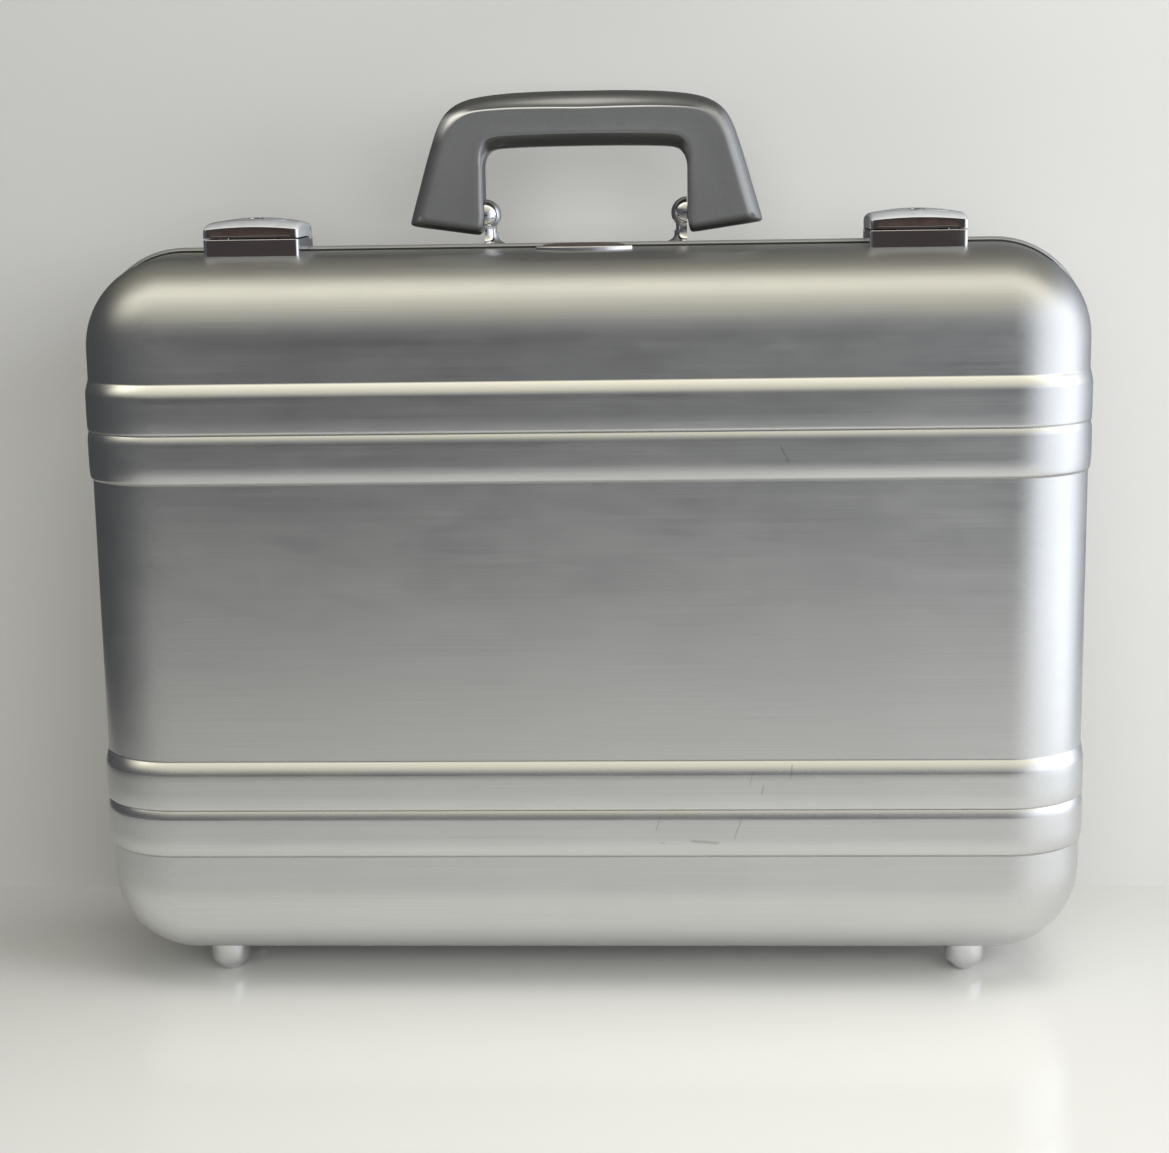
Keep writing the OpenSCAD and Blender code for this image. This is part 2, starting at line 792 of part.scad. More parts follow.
base_shell();
base_frame();
rim_gasket();
base_liner();
hinge_leaf_base();
hinge_pin();
hinge_rivets_base();
rear_feet();
rear_foot_screws();
handle_post_left();
handle_post_right();
handle_post_screws();
latch_base_left();
latch_base_right();
latch_base_rivets();
latch_pin_left();
latch_pin_right();
stay_bracket_base_left();
stay_bracket_base_right();
stay_studs();
lid_shell();
lid_frame();
lid_liner();
hinge_leaf_lid();
hinge_rivets_lid();
front_feet();
front_foot_screws();
latch_keeper_left();
latch_keeper_right();
latch_keeper_rivets();
badge_plate();
stay_bracket_lid_left();
stay_bracket_lid_right();
stay_pivots();
document_pocket();
accessory_pocket();
card_pocket();
pen_loops();
handle_grip();
handle_pivot_pins();
latch_lever_left();
latch_lever_right();
claw_pin_left();
claw_pin_right();
latch_claw_left();
latch_claw_right();
lock_plug_left();
lock_plug_right();
stay_arm_left();
stay_arm_right();
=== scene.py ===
import json
import math

import bmesh
import bpy
import numpy as np
from mathutils import Matrix, Vector, noise

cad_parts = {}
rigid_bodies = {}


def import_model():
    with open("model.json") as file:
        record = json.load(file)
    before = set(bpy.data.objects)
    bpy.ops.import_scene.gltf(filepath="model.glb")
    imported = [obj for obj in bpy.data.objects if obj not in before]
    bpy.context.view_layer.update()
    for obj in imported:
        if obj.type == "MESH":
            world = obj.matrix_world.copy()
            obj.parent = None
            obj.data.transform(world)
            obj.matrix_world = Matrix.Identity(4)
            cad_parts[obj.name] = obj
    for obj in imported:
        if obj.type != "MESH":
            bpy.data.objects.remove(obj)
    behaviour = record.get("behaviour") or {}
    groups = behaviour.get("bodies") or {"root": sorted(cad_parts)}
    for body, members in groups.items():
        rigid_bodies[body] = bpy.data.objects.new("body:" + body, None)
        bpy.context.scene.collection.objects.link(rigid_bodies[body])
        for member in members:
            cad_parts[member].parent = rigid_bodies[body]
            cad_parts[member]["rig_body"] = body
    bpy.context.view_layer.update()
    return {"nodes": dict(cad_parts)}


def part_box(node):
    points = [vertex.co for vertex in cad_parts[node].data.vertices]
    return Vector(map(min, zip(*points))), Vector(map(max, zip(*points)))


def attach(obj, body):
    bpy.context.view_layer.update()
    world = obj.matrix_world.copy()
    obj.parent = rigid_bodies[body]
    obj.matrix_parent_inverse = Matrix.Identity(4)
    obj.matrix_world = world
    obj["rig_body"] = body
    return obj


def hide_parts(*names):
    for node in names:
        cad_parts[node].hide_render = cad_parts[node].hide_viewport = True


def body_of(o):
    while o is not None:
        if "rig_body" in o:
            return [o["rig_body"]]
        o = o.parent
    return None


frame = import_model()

MM = 0.001
SIDES = {"left": -1, "right": 1}

# ---- Case, in millimetres: the depth runs from the parting plane (y = 0) into each shell

FOOT_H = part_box("lid_shell")[0].z / MM
TOP_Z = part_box("lid_shell")[1].z / MM
CENTRE_Z = (FOOT_H + TOP_Z) / 2
CASE_W = 457.0
SHELL_DEPTH = 63.5
CORNER_R = 41.5
EDGE_R = 38.0
DRAFT = math.radians(2.5)
SEAM = 0.3
MID_X = CASE_W / 2 - CORNER_R
MID_Z = (TOP_Z - FOOT_H) / 2 - CORNER_R
ARC_R = CORNER_R - (SHELL_DEPTH - EDGE_R) * math.tan(DRAFT) - EDGE_R / math.cos(DRAFT)
ARC_DEPTH = SHELL_DEPTH - EDGE_R

BEAD_IN = 63.5
BEAD_OUT = 109.0
BEAD_H = 2.9
CREASE_AT = 23.0
CREASE_DEPTH = 1.4


def clamp(value):
    return min(max(value, 0.0), 1.0)


def swell(width, rise, power):
    """Distance and height of a slope that leaves its crease sharply and rounds off at its top."""
    t = np.linspace(0, 1, 13)
    return t * width, rise * (1 - (1 - t) ** power)


def fall(width, drop, soft, soft_drop, lip_w):
    """A slope seen from its crease: short and steep, then long and gentle up to the top."""
    t = np.linspace(0, 1, 9)
    steep = (1 - (1 - t) ** 1.5) * (drop - soft_drop)
    gentle = drop - soft_drop * (1 - t[1:]) ** 2
    return (np.concatenate([t * lip_w, lip_w + t[1:] * soft]) * width / (soft + lip_w),
            np.concatenate([steep, gentle]))


def bead_group():
    """The section of a group of two beads, from its top edge down."""
    up, down = swell(6.2, BEAD_H, 1.45), fall(9.0, BEAD_H, 7.4, 0.9, 1.6)
    small_up, small_down = swell(4.3, CREASE_DEPTH, 1.7), fall(8.0, CREASE_DEPTH, 7.0, 0.35, 1.0)
    whole = BEAD_OUT - BEAD_IN
    floor = BEAD_H - CREASE_DEPTH
    along = np.concatenate([up[0], CREASE_AT - small_down[0][::-1], CREASE_AT + small_up[0][1:],
                            whole - down[0][::-1]])
    height = np.concatenate([up[1], floor + small_down[1][::-1], floor + small_up[1][1:], down[1][::-1]])
    return along, height


BEAD_DOWN, BEAD_RISE = bead_group()


# ---- Meshes


def new_object(name, data):
    made = bpy.data.objects.new(name, data)
    bpy.context.scene.collection.objects.link(made)
    return made


def finish_mesh(name, mesh, finishes, sharp=180.0):
    """Makes an object of a mesh in metres, smooth shaded, with edges over the angle kept sharp."""
    mesh.polygons.foreach_set("use_smooth", [True] * len(mesh.polygons))
    if sharp < 180:
        mesh.set_sharp_from_angle(angle=math.radians(sharp))
    piece = new_object(name, mesh)
    for finish in finishes if isinstance(finishes, (list, tuple)) else [finishes]:
        mesh.materials.append(finish)
    return piece


def from_bmesh(name, bm, finishes, sharp=180.0, merge=1e-6, outward=True):
    bmesh.ops.remove_doubles(bm, verts=bm.verts, dist=merge)
    if outward:
        bmesh.ops.recalc_face_normals(bm, faces=bm.faces)
    mesh = bpy.data.meshes.new(name)
    bm.to_mesh(mesh)
    bm.free()
    return finish_mesh(name, mesh, finishes, sharp)


def add_grid(bm, rows, closed_u=False, closed_v=False):
    """Adds a grid of points in millimetres as quads, joining its ends where asked."""
    made = [[bm.verts.new(Vector(p) * MM) for p in row] for row in rows]
    nu, nv = len(made), len(made[0])
    for i in range(nu if closed_u else nu - 1):
        for j in range(nv if closed_v else nv - 1):
            corners = [made[i][j], made[(i + 1) % nu][j],
                       made[(i + 1) % nu][(j + 1) % nv], made[i][(j + 1) % nv]]
            bm.faces.new(corners)
    return made


def lathe(bm, profile, centre, steps=48, start=0.0, turn=2 * math.pi):
    """Turns a profile of (radius, z) in millimetres round a vertical line."""
    whole = abs(turn - 2 * math.pi) < 1e-6
    count = steps if whole else steps + 1
    rows = []
    for i in range(count):
        a = start + turn * i / steps
        rows.append([(centre[0] + r * math.cos(a), centre[1] + r * math.sin(a), z) for r, z in profile])
    return add_grid(bm, rows, closed_u=whole)


def smooth_path(points, steps):
    """Catmull-Rom curve through points of any length."""
    pts = [np.array(p, float) for p in points]
    pts = [2 * pts[0] - pts[1]] + pts + [2 * pts[-1] - pts[-2]]
    out = []
    for i in range(1, len(pts) - 2):
        for k in range(steps):
            t = k / steps
            a, b, c, d = pts[i - 1:i + 3]
            out.append(0.5 * (2 * b + (c - a) * t + (2 * a - 5 * b + 4 * c - d) * t * t
                              + (3 * b - a - 3 * c + d) * t ** 3))
    out.append(pts[-2])
    return out


def node_bmesh(node):
    bm = bmesh.new()
    bm.from_mesh(frame["nodes"][node].data)
    return bm


def node_body(node):
    return body_of(frame["nodes"][node])[0]


def solid_copy(node):
    """A CAD node's mesh as joined faces, for a piece that finishes its edges."""
    bm = node_bmesh(node)
    bmesh.ops.remove_doubles(bm, verts=bm.verts, dist=2e-6)
    bmesh.ops.dissolve_limit(bm, angle_limit=math.radians(1.0), verts=bm.verts, edges=bm.edges)
    return bm


def baked(piece):
    """The piece with its modifiers applied."""
    bpy.context.view_layer.update()
    graph = bpy.context.evaluated_depsgraph_get()
    mesh = bpy.data.meshes.new_from_object(piece.evaluated_get(graph))
    piece.modifiers.clear()
    piece.data = mesh
    return piece


def eased(node, finish, radius, angle=35.0):
    """A CAD node with its sharp edges eased, standing for that node."""
    piece = from_bmesh(node + "_eased", solid_copy(node), finish, sharp=angle, outward=False)
    bevel = piece.modifiers.new("ease", "BEVEL")
    bevel.width = radius * MM
    bevel.segments = 2
    bevel.limit_method = "ANGLE"
    bevel.angle_limit = math.radians(angle)
    bevel.harden_normals = True
    bevel.use_clamp_overlap = True
    baked(piece)
    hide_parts(node)
    return piece


def put(piece, body):
    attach(piece, body)
    return piece


# ---- Finishes


class NodeSheet:
    """A node tree, with a short name for each thing done to it."""

    def __init__(self, tree):
        self.nodes = tree.nodes
        self.links = tree.links

    def node(self, kind, **values):
        made = self.nodes.new(kind)
        for key, value in values.items():
            setattr(made, key, value)
        return made

    def feed(self, socket, value):
        """Gives a socket a link, a colour or a number."""
        if isinstance(value, bpy.types.NodeSocket):
            self.links.new(value, socket)
        elif isinstance(value, (tuple, list)):
            socket.default_value = (*value, 1)
        else:
            socket.default_value = value

    def axis(self, vector, name):
        split = self.node("ShaderNodeSeparateXYZ")
        self.links.new(vector, split.inputs["Vector"])
        return split.outputs[name]

    def calc(self, operation, a, b=0.0):
        made = self.node("ShaderNodeMath", operation=operation)
        self.feed(made.inputs[0], a)
        self.feed(made.inputs[1], b)
        return made.outputs[0]

    def blend(self, share, a, b):
        """Mixes two colours."""
        made = self.node("ShaderNodeMix", data_type="RGBA")
        self.feed(made.inputs["Factor"], share)
        self.feed(made.inputs[6], a)
        self.feed(made.inputs[7], b)
        return made.outputs[2]


class Finish(NodeSheet):
    """One node material: a Principled shader with patterns on Object coordinates."""

    def __init__(self, name, colour, roughness, **sockets):
        self.material = bpy.data.materials.new(name)
        self.material.use_nodes = True
        super().__init__(self.material.node_tree)
        self.shader = self.nodes["Principled BSDF"]
        self.shader.inputs["Base Color"].default_value = (*colour, 1)
        self.shader.inputs["Roughness"].default_value = roughness
        for key, value in sockets.items():
            self.shader.inputs[key.replace("_", " ")].default_value = value
        self.own = self.nodes.new("ShaderNodeTexCoord").outputs
        self.where = self.own["Object"]
        self.last_normal = None

    def place(self, scale=(1, 1, 1), turn=(0, 0, 0), source=None):
        made = self.node("ShaderNodeMapping")
        self.links.new(source or self.where, made.inputs["Vector"])
        made.inputs["Scale"].default_value = scale
        made.inputs["Rotation"].default_value = turn
        return made.outputs["Vector"]

    def noise(self, scale, detail=3.0, roughness=0.5, stretch=(1, 1, 1)):
        made = self.node("ShaderNodeTexNoise")
        self.links.new(self.place(stretch), made.inputs["Vector"])
        made.inputs["Scale"].default_value = scale
        made.inputs["Detail"].default_value = detail
        made.inputs["Roughness"].default_value = roughness
        return made.outputs["Fac"]

    def cells(self, scale, feature="F1", output="Distance"):
        made = self.node("ShaderNodeTexVoronoi", feature=feature)
        self.links.new(self.where, made.inputs["Vector"])
        made.inputs["Scale"].default_value = scale
        return made.outputs[output]

    def wave(self, scale, direction):
        made = self.node("ShaderNodeTexWave", bands_direction=direction)
        self.links.new(self.where, made.inputs["Vector"])
        made.inputs["Scale"].default_value = scale
        return made.outputs["Fac"]

    def spread(self, source, low, high, to_low=0.0, to_high=1.0):
        made = self.node("ShaderNodeMapRange", clamp=True)
        self.links.new(source, made.inputs["Value"])
        for key, value in (("From Min", low), ("From Max", high), ("To Min", to_low), ("To Max", to_high)):
            made.inputs[key].default_value = value
        return made.outputs["Result"]

    def pick(self, share, a, b):
        """Mixes two numbers."""
        made = self.node("ShaderNodeMix", data_type="FLOAT")
        self.feed(made.inputs["Factor"], share)
        self.feed(made.inputs[2], a)
        self.feed(made.inputs[3], b)
        return made.outputs[0]

    def colour(self, socket):
        self.links.new(socket, self.shader.inputs["Base Color"])

    def rough(self, socket):
        self.links.new(socket, self.shader.inputs["Roughness"])

    def bump(self, height, strength, distance_mm):
        made = self.node("ShaderNodeBump")
        made.inputs["Strength"].default_value = strength
        made.inputs["Distance"].default_value = distance_mm * MM
        self.links.new(height, made.inputs["Height"])
        if self.last_normal is not None:
            self.links.new(self.last_normal, made.inputs["Normal"])
        self.last_normal = made.outputs["Normal"]
        self.links.new(self.last_normal, self.shader.inputs["Normal"])

    def side_share(self):
        """1 on walls that face left or right, 0 on the others."""
        facing = self.axis(self.node("ShaderNodeNewGeometry").outputs["Normal"], "X")
        return self.spread(self.calc("ABSOLUTE", facing), 0.55, 0.8)

    def facing_up(self):
        """How far a surface faces up in its rest place: 1 up, 0 level, -1 down."""
        return self.axis(self.own["Normal"], "Z")

    def along(self, axis):
        """Distance along one axis of the part."""
        return self.axis(self.where, axis)

    def clear_where(self, share):
        """Lets every ray through where the share is 1."""
        clear = self.node("ShaderNodeBsdfTransparent")
        mixed = self.node("ShaderNodeMixShader")
        self.links.new(share, mixed.inputs[0])
        self.links.new(self.shader.outputs[0], mixed.inputs[1])
        self.links.new(clear.outputs[0], mixed.inputs[2])
        self.links.new(mixed.outputs[0], self.nodes["Material Output"].inputs["Surface"])


def brushed_grain(finish, lines=2600.0, run=9.0):
    """Fine parallel lines along X, or along Y on the side walls."""
    along_x = finish.noise(1.0, 3.0, 0.7, (run, lines, lines))
    along_y = finish.noise(1.0, 3.0, 0.7, (lines, run, lines))
    return finish.pick(finish.side_share(), along_x, along_y)


def scratch(finish, start, end, width):
    """A hairline between two points (x, z) on the lid's face, as a mask."""
    line = Vector((end[0] - start[0], end[1] - start[1]))
    turn = math.atan2(line.y, line.x)
    shift = finish.node("ShaderNodeVectorMath", operation="SUBTRACT")
    wobble = finish.noise(90.0, 2.0, 0.5)
    shift.inputs[1].default_value = ((start[0] + end[0]) / 2 * MM, 0, (start[1] + end[1]) / 2 * MM)
    finish.links.new(finish.where, shift.inputs[0])
    turned = finish.place(turn=(0, turn, 0), source=shift.outputs[0])
    waver = finish.calc("MULTIPLY", finish.calc("SUBTRACT", wobble, 0.5), 2.4 * MM)
    across = finish.calc("ABSOLUTE", finish.calc("ADD", finish.axis(turned, "Z"), waver))
    along = finish.calc("ABSOLUTE", finish.axis(turned, "X"))
    thin = finish.spread(across, width * 0.3 * MM, width * MM, 1.0, 0.0)
    short = finish.spread(along, line.length * 0.38 * MM, line.length * 0.5 * MM, 1.0, 0.0)
    facing = finish.calc("LESS_THAN", finish.along("Y"), -0.03)
    return finish.calc("MULTIPLY", finish.calc("MULTIPLY", thin, short), facing)


# Hairlines on the lid's face: both ends (x, z) and the width, in millimetres
HAIRLINES = [((87.1, 257.8), (90.7, 249.6), 0.6), ((74.5, 110), (73.4, 102.5), 0.35),
             ((79.7, 104), (78.7, 99), 0.6), ((92.5, 113), (91.8, 106), 0.4),
             ((33.3, 89.3), (30.4, 82), 0.35), ((46, 77.6), (60, 76.4), 1.0),
             ((69.5, 89), (66.2, 78), 0.5), ((32.8, 76.6), (34.9, 76.6), 0.5)]


def brushed_aluminium():
    f = Finish("brushed_aluminium", (0.6, 0.6, 0.59), 0.34, Metallic=1.0)
    grain = brushed_grain(f)
    cloud = f.noise(7.0, 4.0, 0.55)
    marks = f.noise(55.0, 5.0, 0.7, (0.35, 1, 1))
    worn = None
    for start, end, width in HAIRLINES:
        one = scratch(f, start, end, width)
        worn = one if worn is None else f.calc("MAXIMUM", worn, one)
    tone = f.blend(f.spread(grain, 0.3, 0.7), (0.59, 0.595, 0.6), (0.68, 0.685, 0.69))
    tone = f.blend(f.spread(cloud, 0.35, 0.7, 0.0, 0.35), tone, (0.55, 0.555, 0.56))
    up = f.facing_up()
    height = f.calc("ABSOLUTE", f.calc("SUBTRACT", f.along("Z"), CENTRE_Z * MM), 0)
    beaded = f.spread(height, (BEAD_OUT + 3) * MM, (BEAD_OUT + 6) * MM, 1.0, 0.0)
    # Painted highlight: where the beads' slopes face up, the colour is lightened almost to white and the
    # roughness lowered.
    bead_top_painted_highlight = f.calc("MULTIPLY", beaded, f.spread(up, 0.18, 0.5))
    # Painted shade: where the beads' slopes face down, the colour is darkened towards dark grey.
    crease = f.calc("MULTIPLY", beaded, f.spread(up, -0.16, -0.5, 0.0, 0.36))
    tone = f.blend(bead_top_painted_highlight, tone, (0.97, 0.97, 0.955))
    tone = f.blend(crease, tone, (0.2, 0.2, 0.195))
    f.colour(f.blend(f.calc("MULTIPLY", worn, 0.4), tone, (0.25, 0.24, 0.23)))
    rough = f.calc("ADD", f.spread(marks, 0.3, 0.75, 0.3, 0.39), f.spread(grain, 0.3, 0.7, -0.02, 0.03))
    f.rough(f.calc("SUBTRACT", rough, f.calc("MULTIPLY", bead_top_painted_highlight, 0.13)))
    f.bump(grain, 0.16, 0.02)
    f.bump(f.calc("SUBTRACT", f.noise(26.0, 2.0), worn), 0.14, 0.12)
    return f.material


def extruded_aluminium():
    f = Finish("extruded_aluminium", (0.5, 0.5, 0.5), 0.38, Metallic=1.0)
    grain = f.noise(1.0, 3.0, 0.65, (40, 1800, 40))
    f.colour(f.blend(f.spread(grain, 0.3, 0.7), (0.44, 0.44, 0.44), (0.58, 0.58, 0.57)))
    f.rough(f.spread(f.noise(60.0, 4.0), 0.3, 0.7, 0.32, 0.46))
    f.bump(grain, 0.2, 0.03)
    return f.material


def polished_chrome():
    f = Finish("polished_chrome", (0.78, 0.78, 0.8), 0.07, Metallic=1.0)
    smear = f.noise(120.0, 4.0, 0.6)
    fine = f.noise(1.0, 2.0, 0.5, (90, 5200, 5200))
    f.colour(f.blend(f.spread(smear, 0.35, 0.7), (0.8, 0.8, 0.82), (0.7, 0.7, 0.73)))
    f.rough(f.calc("ADD", f.spread(smear, 0.45, 0.75, 0.05, 0.13), f.spread(fine, 0.6, 0.75, 0.0, 0.08)))
    f.bump(f.noise(240.0, 3.0), 0.05, 0.03)
    return f.material


def satin_chrome():
    f = Finish("satin_chrome", (0.8, 0.82, 0.85), 0.16, Metallic=0.45)
    smear = f.noise(150.0, 4.0, 0.6)
    f.colour(f.blend(f.spread(smear, 0.35, 0.7), (0.86, 0.88, 0.91), (0.72, 0.745, 0.78)))
    f.rough(f.spread(smear, 0.4, 0.75, 0.1, 0.24))
    f.bump(f.noise(900.0, 3.0), 0.06, 0.02)
    return f.material


def moulded_grip():
    f = Finish("metallic_grey_plastic", (0.2, 0.205, 0.21), 0.28, Metallic=0.5, Coat_Weight=0.6)
    f.shader.inputs["Coat Roughness"].default_value = 0.1
    flake = f.node("ShaderNodeRGBToBW")
    f.links.new(f.cells(5200.0, output="Color"), flake.inputs["Color"])
    worn = f.noise(24.0, 3.0, 0.5)
    tone = f.blend(f.spread(flake.outputs["Val"], 0.2, 0.9), (0.185, 0.19, 0.195), (0.25, 0.255, 0.26))
    tone = f.blend(f.spread(worn, 0.2, 0.9, 0.0, 0.3), tone, (0.27, 0.27, 0.27))
    up = f.facing_up()
    # Painted shade: surfaces of the grip that face up are darkened almost to black.
    tone = f.blend(f.spread(up, 0.5, 0.75, 0.0, 0.8), tone, (0.035, 0.036, 0.038))
    # Painted highlight: a bright line along the bar's crease, on slopes between level and half up, high on
    # the bar and fading out towards the right shoulder.
    edge = f.calc("MULTIPLY", f.spread(up, 0.1, 0.3), f.spread(up, 0.5, 0.68, 1.0, 0.0))
    edge = f.calc("MULTIPLY", edge, f.spread(f.along("Z"), (TOP_Z + 48) * MM, (TOP_Z + 56) * MM))
    edge = f.calc("MULTIPLY", edge, f.spread(f.along("X"), 25 * MM, 56 * MM, 1.0, 0.0))
    tone = f.blend(edge, tone, (0.8, 0.8, 0.79))
    # Painted shade: surfaces of the grip that face down are darkened almost to black.
    f.colour(f.blend(f.spread(up, -0.15, -0.5, 0.0, 0.85), tone, (0.03, 0.031, 0.033)))
    f.rough(f.spread(worn, 0.2, 0.9, 0.2, 0.28))
    f.bump(f.noise(1500.0, 2.0), 0.03, 0.02)
    f.bump(f.noise(60.0, 3.0), 0.03, 0.1)
    return f.material


def turned_foot_metal():
    f = Finish("turned_aluminium", (0.75, 0.75, 0.76), 0.3, Metallic=1.0)
    rings = f.noise(1.0, 2.0, 0.6, (30, 30, 4200))
    f.colour(f.blend(f.spread(rings, 0.3, 0.7), (0.7, 0.7, 0.71), (0.82, 0.82, 0.83)))
    f.rough(f.spread(f.noise(160.0, 3.0), 0.3, 0.75, 0.2, 0.28))
    f.bump(rings, 0.04, 0.02)
    return f.material


def rolled_steel(name, colour, streak):
    f = Finish(name, colour, 0.34, Metallic=1.0)
    grain = f.noise(1.0, 3.0, 0.6, streak)
    spots = f.noise(420.0, 4.0, 0.7)
    dull = tuple(c * 0.7 for c in colour)
    f.colour(f.blend(f.spread(f.calc("MULTIPLY", grain, spots), 0.12, 0.4), dull, colour))
    f.rough(f.spread(spots, 0.3, 0.7, 0.26, 0.44))
    f.bump(grain, 0.18, 0.03)
    return f.material


def gasket_rubber():
    f = Finish("gasket_rubber", (0.02, 0.02, 0.02), 0.75)
    f.colour(f.blend(f.noise(300.0), (0.014, 0.014, 0.014), (0.035, 0.035, 0.035)))
    f.bump(f.noise(1800.0, 4.0), 0.3, 0.08)
    return f.material


def woven_lining(name, dark, light):
    f = Finish(name, dark, 0.85, Sheen_Weight=0.35)
    f.shader.inputs["Sheen Roughness"].default_value = 0.5
    warp = f.wave(420.0, "X")
    weft = f.wave(420.0, "Z")
    depth = f.wave(420.0, "Y")
    weave = f.calc("MULTIPLY", f.calc("MAXIMUM", warp, depth), weft)
    tone = f.calc("ADD", f.calc("MULTIPLY", weave, 0.7), f.calc("MULTIPLY", f.noise(900.0, 3.0), 0.5))
    f.colour(f.blend(f.spread(tone, 0.1, 0.8), dark, light))
    f.rough(f.spread(f.noise(40.0), 0.3, 0.7, 0.75, 0.92))
    f.bump(weave, 0.5, 0.25)
    return f.material


def grained_leather():
    f = Finish("grained_leather", (0.035, 0.032, 0.03), 0.48, Coat_Weight=0.06)
    grain = f.cells(950.0, feature="DISTANCE_TO_EDGE")
    fold = f.noise(70.0, 5.0, 0.6)
    f.colour(f.blend(f.spread(fold, 0.3, 0.75), (0.022, 0.02, 0.019), (0.06, 0.055, 0.05)))
    f.rough(f.calc("ADD", f.spread(fold, 0.3, 0.7, 0.38, 0.5), f.spread(grain, 0.0, 0.1, 0.12, 0.0)))
    f.bump(f.spread(grain, 0.0, 0.14), 0.4, 0.18)
    f.bump(fold, 0.3, 0.4)
    return f.material


# Dark enamel: the badge's own colour, and also painted shade on the floor of the latch covers' sunk panels.
def dark_enamel_and_recess_shade():
    f = Finish("dark_enamel_and_recess_shade", (0.05, 0.035, 0.03), 0.16, Coat_Weight=1.0)
    f.colour(f.blend(f.noise(160.0, 4.0), (0.035, 0.024, 0.02), (0.085, 0.06, 0.05)))
    f.rough(f.spread(f.noise(300.0), 0.3, 0.7, 0.12, 0.24))
    f.bump(f.noise(500.0, 2.0), 0.05, 0.04)
    return f.material


def sewing_thread():
    f = Finish("sewing_thread", (0.16, 0.155, 0.15), 0.7, Sheen_Weight=0.3)
    twist = f.wave(1500.0, "DIAGONAL")
    f.colour(f.blend(twist, (0.12, 0.115, 0.11), (0.22, 0.215, 0.2)))
    f.bump(twist, 0.5, 0.06)
    return f.material


ALUMINIUM = brushed_aluminium()
FRAME_METAL = extruded_aluminium()
CHROME = polished_chrome()
SATIN_CHROME = satin_chrome()
GRIP = moulded_grip()
FOOT_METAL = turned_foot_metal()
HINGE_STEEL = rolled_steel("hinge_steel", (0.52, 0.52, 0.51), (12, 2400, 2400))
FASTENER_STEEL = rolled_steel("fastener_steel", (0.62, 0.62, 0.62), (900, 900, 60))
STAY_STEEL = rolled_steel("stay_steel", (0.6, 0.58, 0.53), (2200, 16, 2200))
RUBBER = gasket_rubber()
LINING = woven_lining("lining_cloth", (0.045, 0.047, 0.052), (0.11, 0.113, 0.12))
LEATHER = grained_leather()
DARK_ENAMEL_AND_RECESS_SHADE = dark_enamel_and_recess_shade()
THREAD = sewing_thread()


# ---- Shells: one rule for the outer skin, the inner face and the linings


def edge_at(inset, depth):
    return CORNER_R - depth * math.tan(DRAFT) - inset / math.cos(DRAFT)


def arc_section(inset, steps):
    """Round part of the section, from the side wall to the big face: radius, depth and normal."""
    out = []
    for i in range(steps + 1):
        a = DRAFT + (math.pi / 2 - DRAFT) * i / steps
        reach = EDGE_R - inset
        out.append((ARC_R + reach * math.cos(a), ARC_DEPTH + reach * math.sin(a),
                    math.cos(a), math.sin(a)))
    return out


def wall_section(inset, start, steps=22):
    """Section from the flat of the face (radius 0) down to the rim, at an inset from the skin."""
    face = [(0.0, SHELL_DEPTH - inset, 0.0, 1.0)]
    near_rim = [d for d in (4.8, 4.4, 4.0, 3.6, 3.2, 2.4, 1.7) if d > start + 0.3]
    depths = [d for d in np.linspace(ARC_DEPTH, start, 9)[1:-1] if d > 5] + near_rim + [start]
    wall = [(edge_at(inset, d), d, math.cos(DRAFT), math.sin(DRAFT)) for d in depths]
    return face + arc_section(inset, steps)[::-1] + wall


def bead_profile(height):
    """Height of the beads over the sheet, at a height over the case's middle."""
    top = BEAD_OUT if height > 0 else -BEAD_IN
    down = top - height
    if not 0 < down < BEAD_OUT - BEAD_IN:
        return 0.0
    return float(np.interp(down, BEAD_DOWN, BEAD_RISE))


def bead_share(depth):
    """The beads run full height over the face and low along the side walls, and fade at the rim."""
    rise = clamp((depth - 3.5) / 8.0)
    wrap = clamp((depth - ARC_DEPTH) / (EDGE_R * 0.8))
    return rise * rise * (3 - 2 * rise) * (0.15 + 0.85 * wrap ** 0.8)


def height_lines():
    """Heights of the mesh's rows over the straight part of the sides, close together at the beads."""
    marks = list(np.linspace(-MID_Z, MID_Z, 27))
    for top in (BEAD_OUT, -BEAD_IN):
        marks = [m for m in marks if not top - BEAD_DOWN[-1] - 1 < m < top + 1]
        marks += [top - d for d in BEAD_DOWN] + [top + 0.3, top - BEAD_DOWN[-1] - 0.3]
        marks += list(np.linspace(top - 9, top - 14, 3)) + list(np.linspace(top - 30, top - 35, 3))
    return sorted(set(round(m, 4) for m in marks))


def stations(heights, widths, corner_steps):
    """The outline, as (x, z, direction x, direction z) of each section's foot."""
    runs = ([(MID_X, z, 1, 0) for z in heights if z < MID_Z],
            [(x, MID_Z, 0, 1) for x in reversed(widths) if x > -MID_X],
            [(-MID_X, z, -1, 0) for z in reversed(heights) if z > -MID_Z],
            [(x, -MID_Z, 0, -1) for x in widths if x < MID_X])
    corners = ((MID_X, MID_Z), (-MID_X, MID_Z), (-MID_X, -MID_Z), (MID_X, -MID_Z))
    out = []
    for quarter, (run, (x, z)) in enumerate(zip(runs, corners)):
        out += run
        for k in range(corner_steps):
            a = math.pi / 2 * (quarter + k / corner_steps)
            out.append((x, z, math.cos(a), math.sin(a)))
    return out


LIP_H = 2.2
LIP_DEPTH = 4.6


def lip(depth, z):
    """The base's rim stands proud of its wall round the top and the sides, and ends above the hinge."""
    if depth > LIP_DEPTH:
        return 0.0
    t = max(1 - depth / LIP_DEPTH, 0.0)
    ends = clamp((z + MID_Z - 5) / 40.0)
    return LIP_H * ends * min(t / 0.3, 1.0) ** 0.6


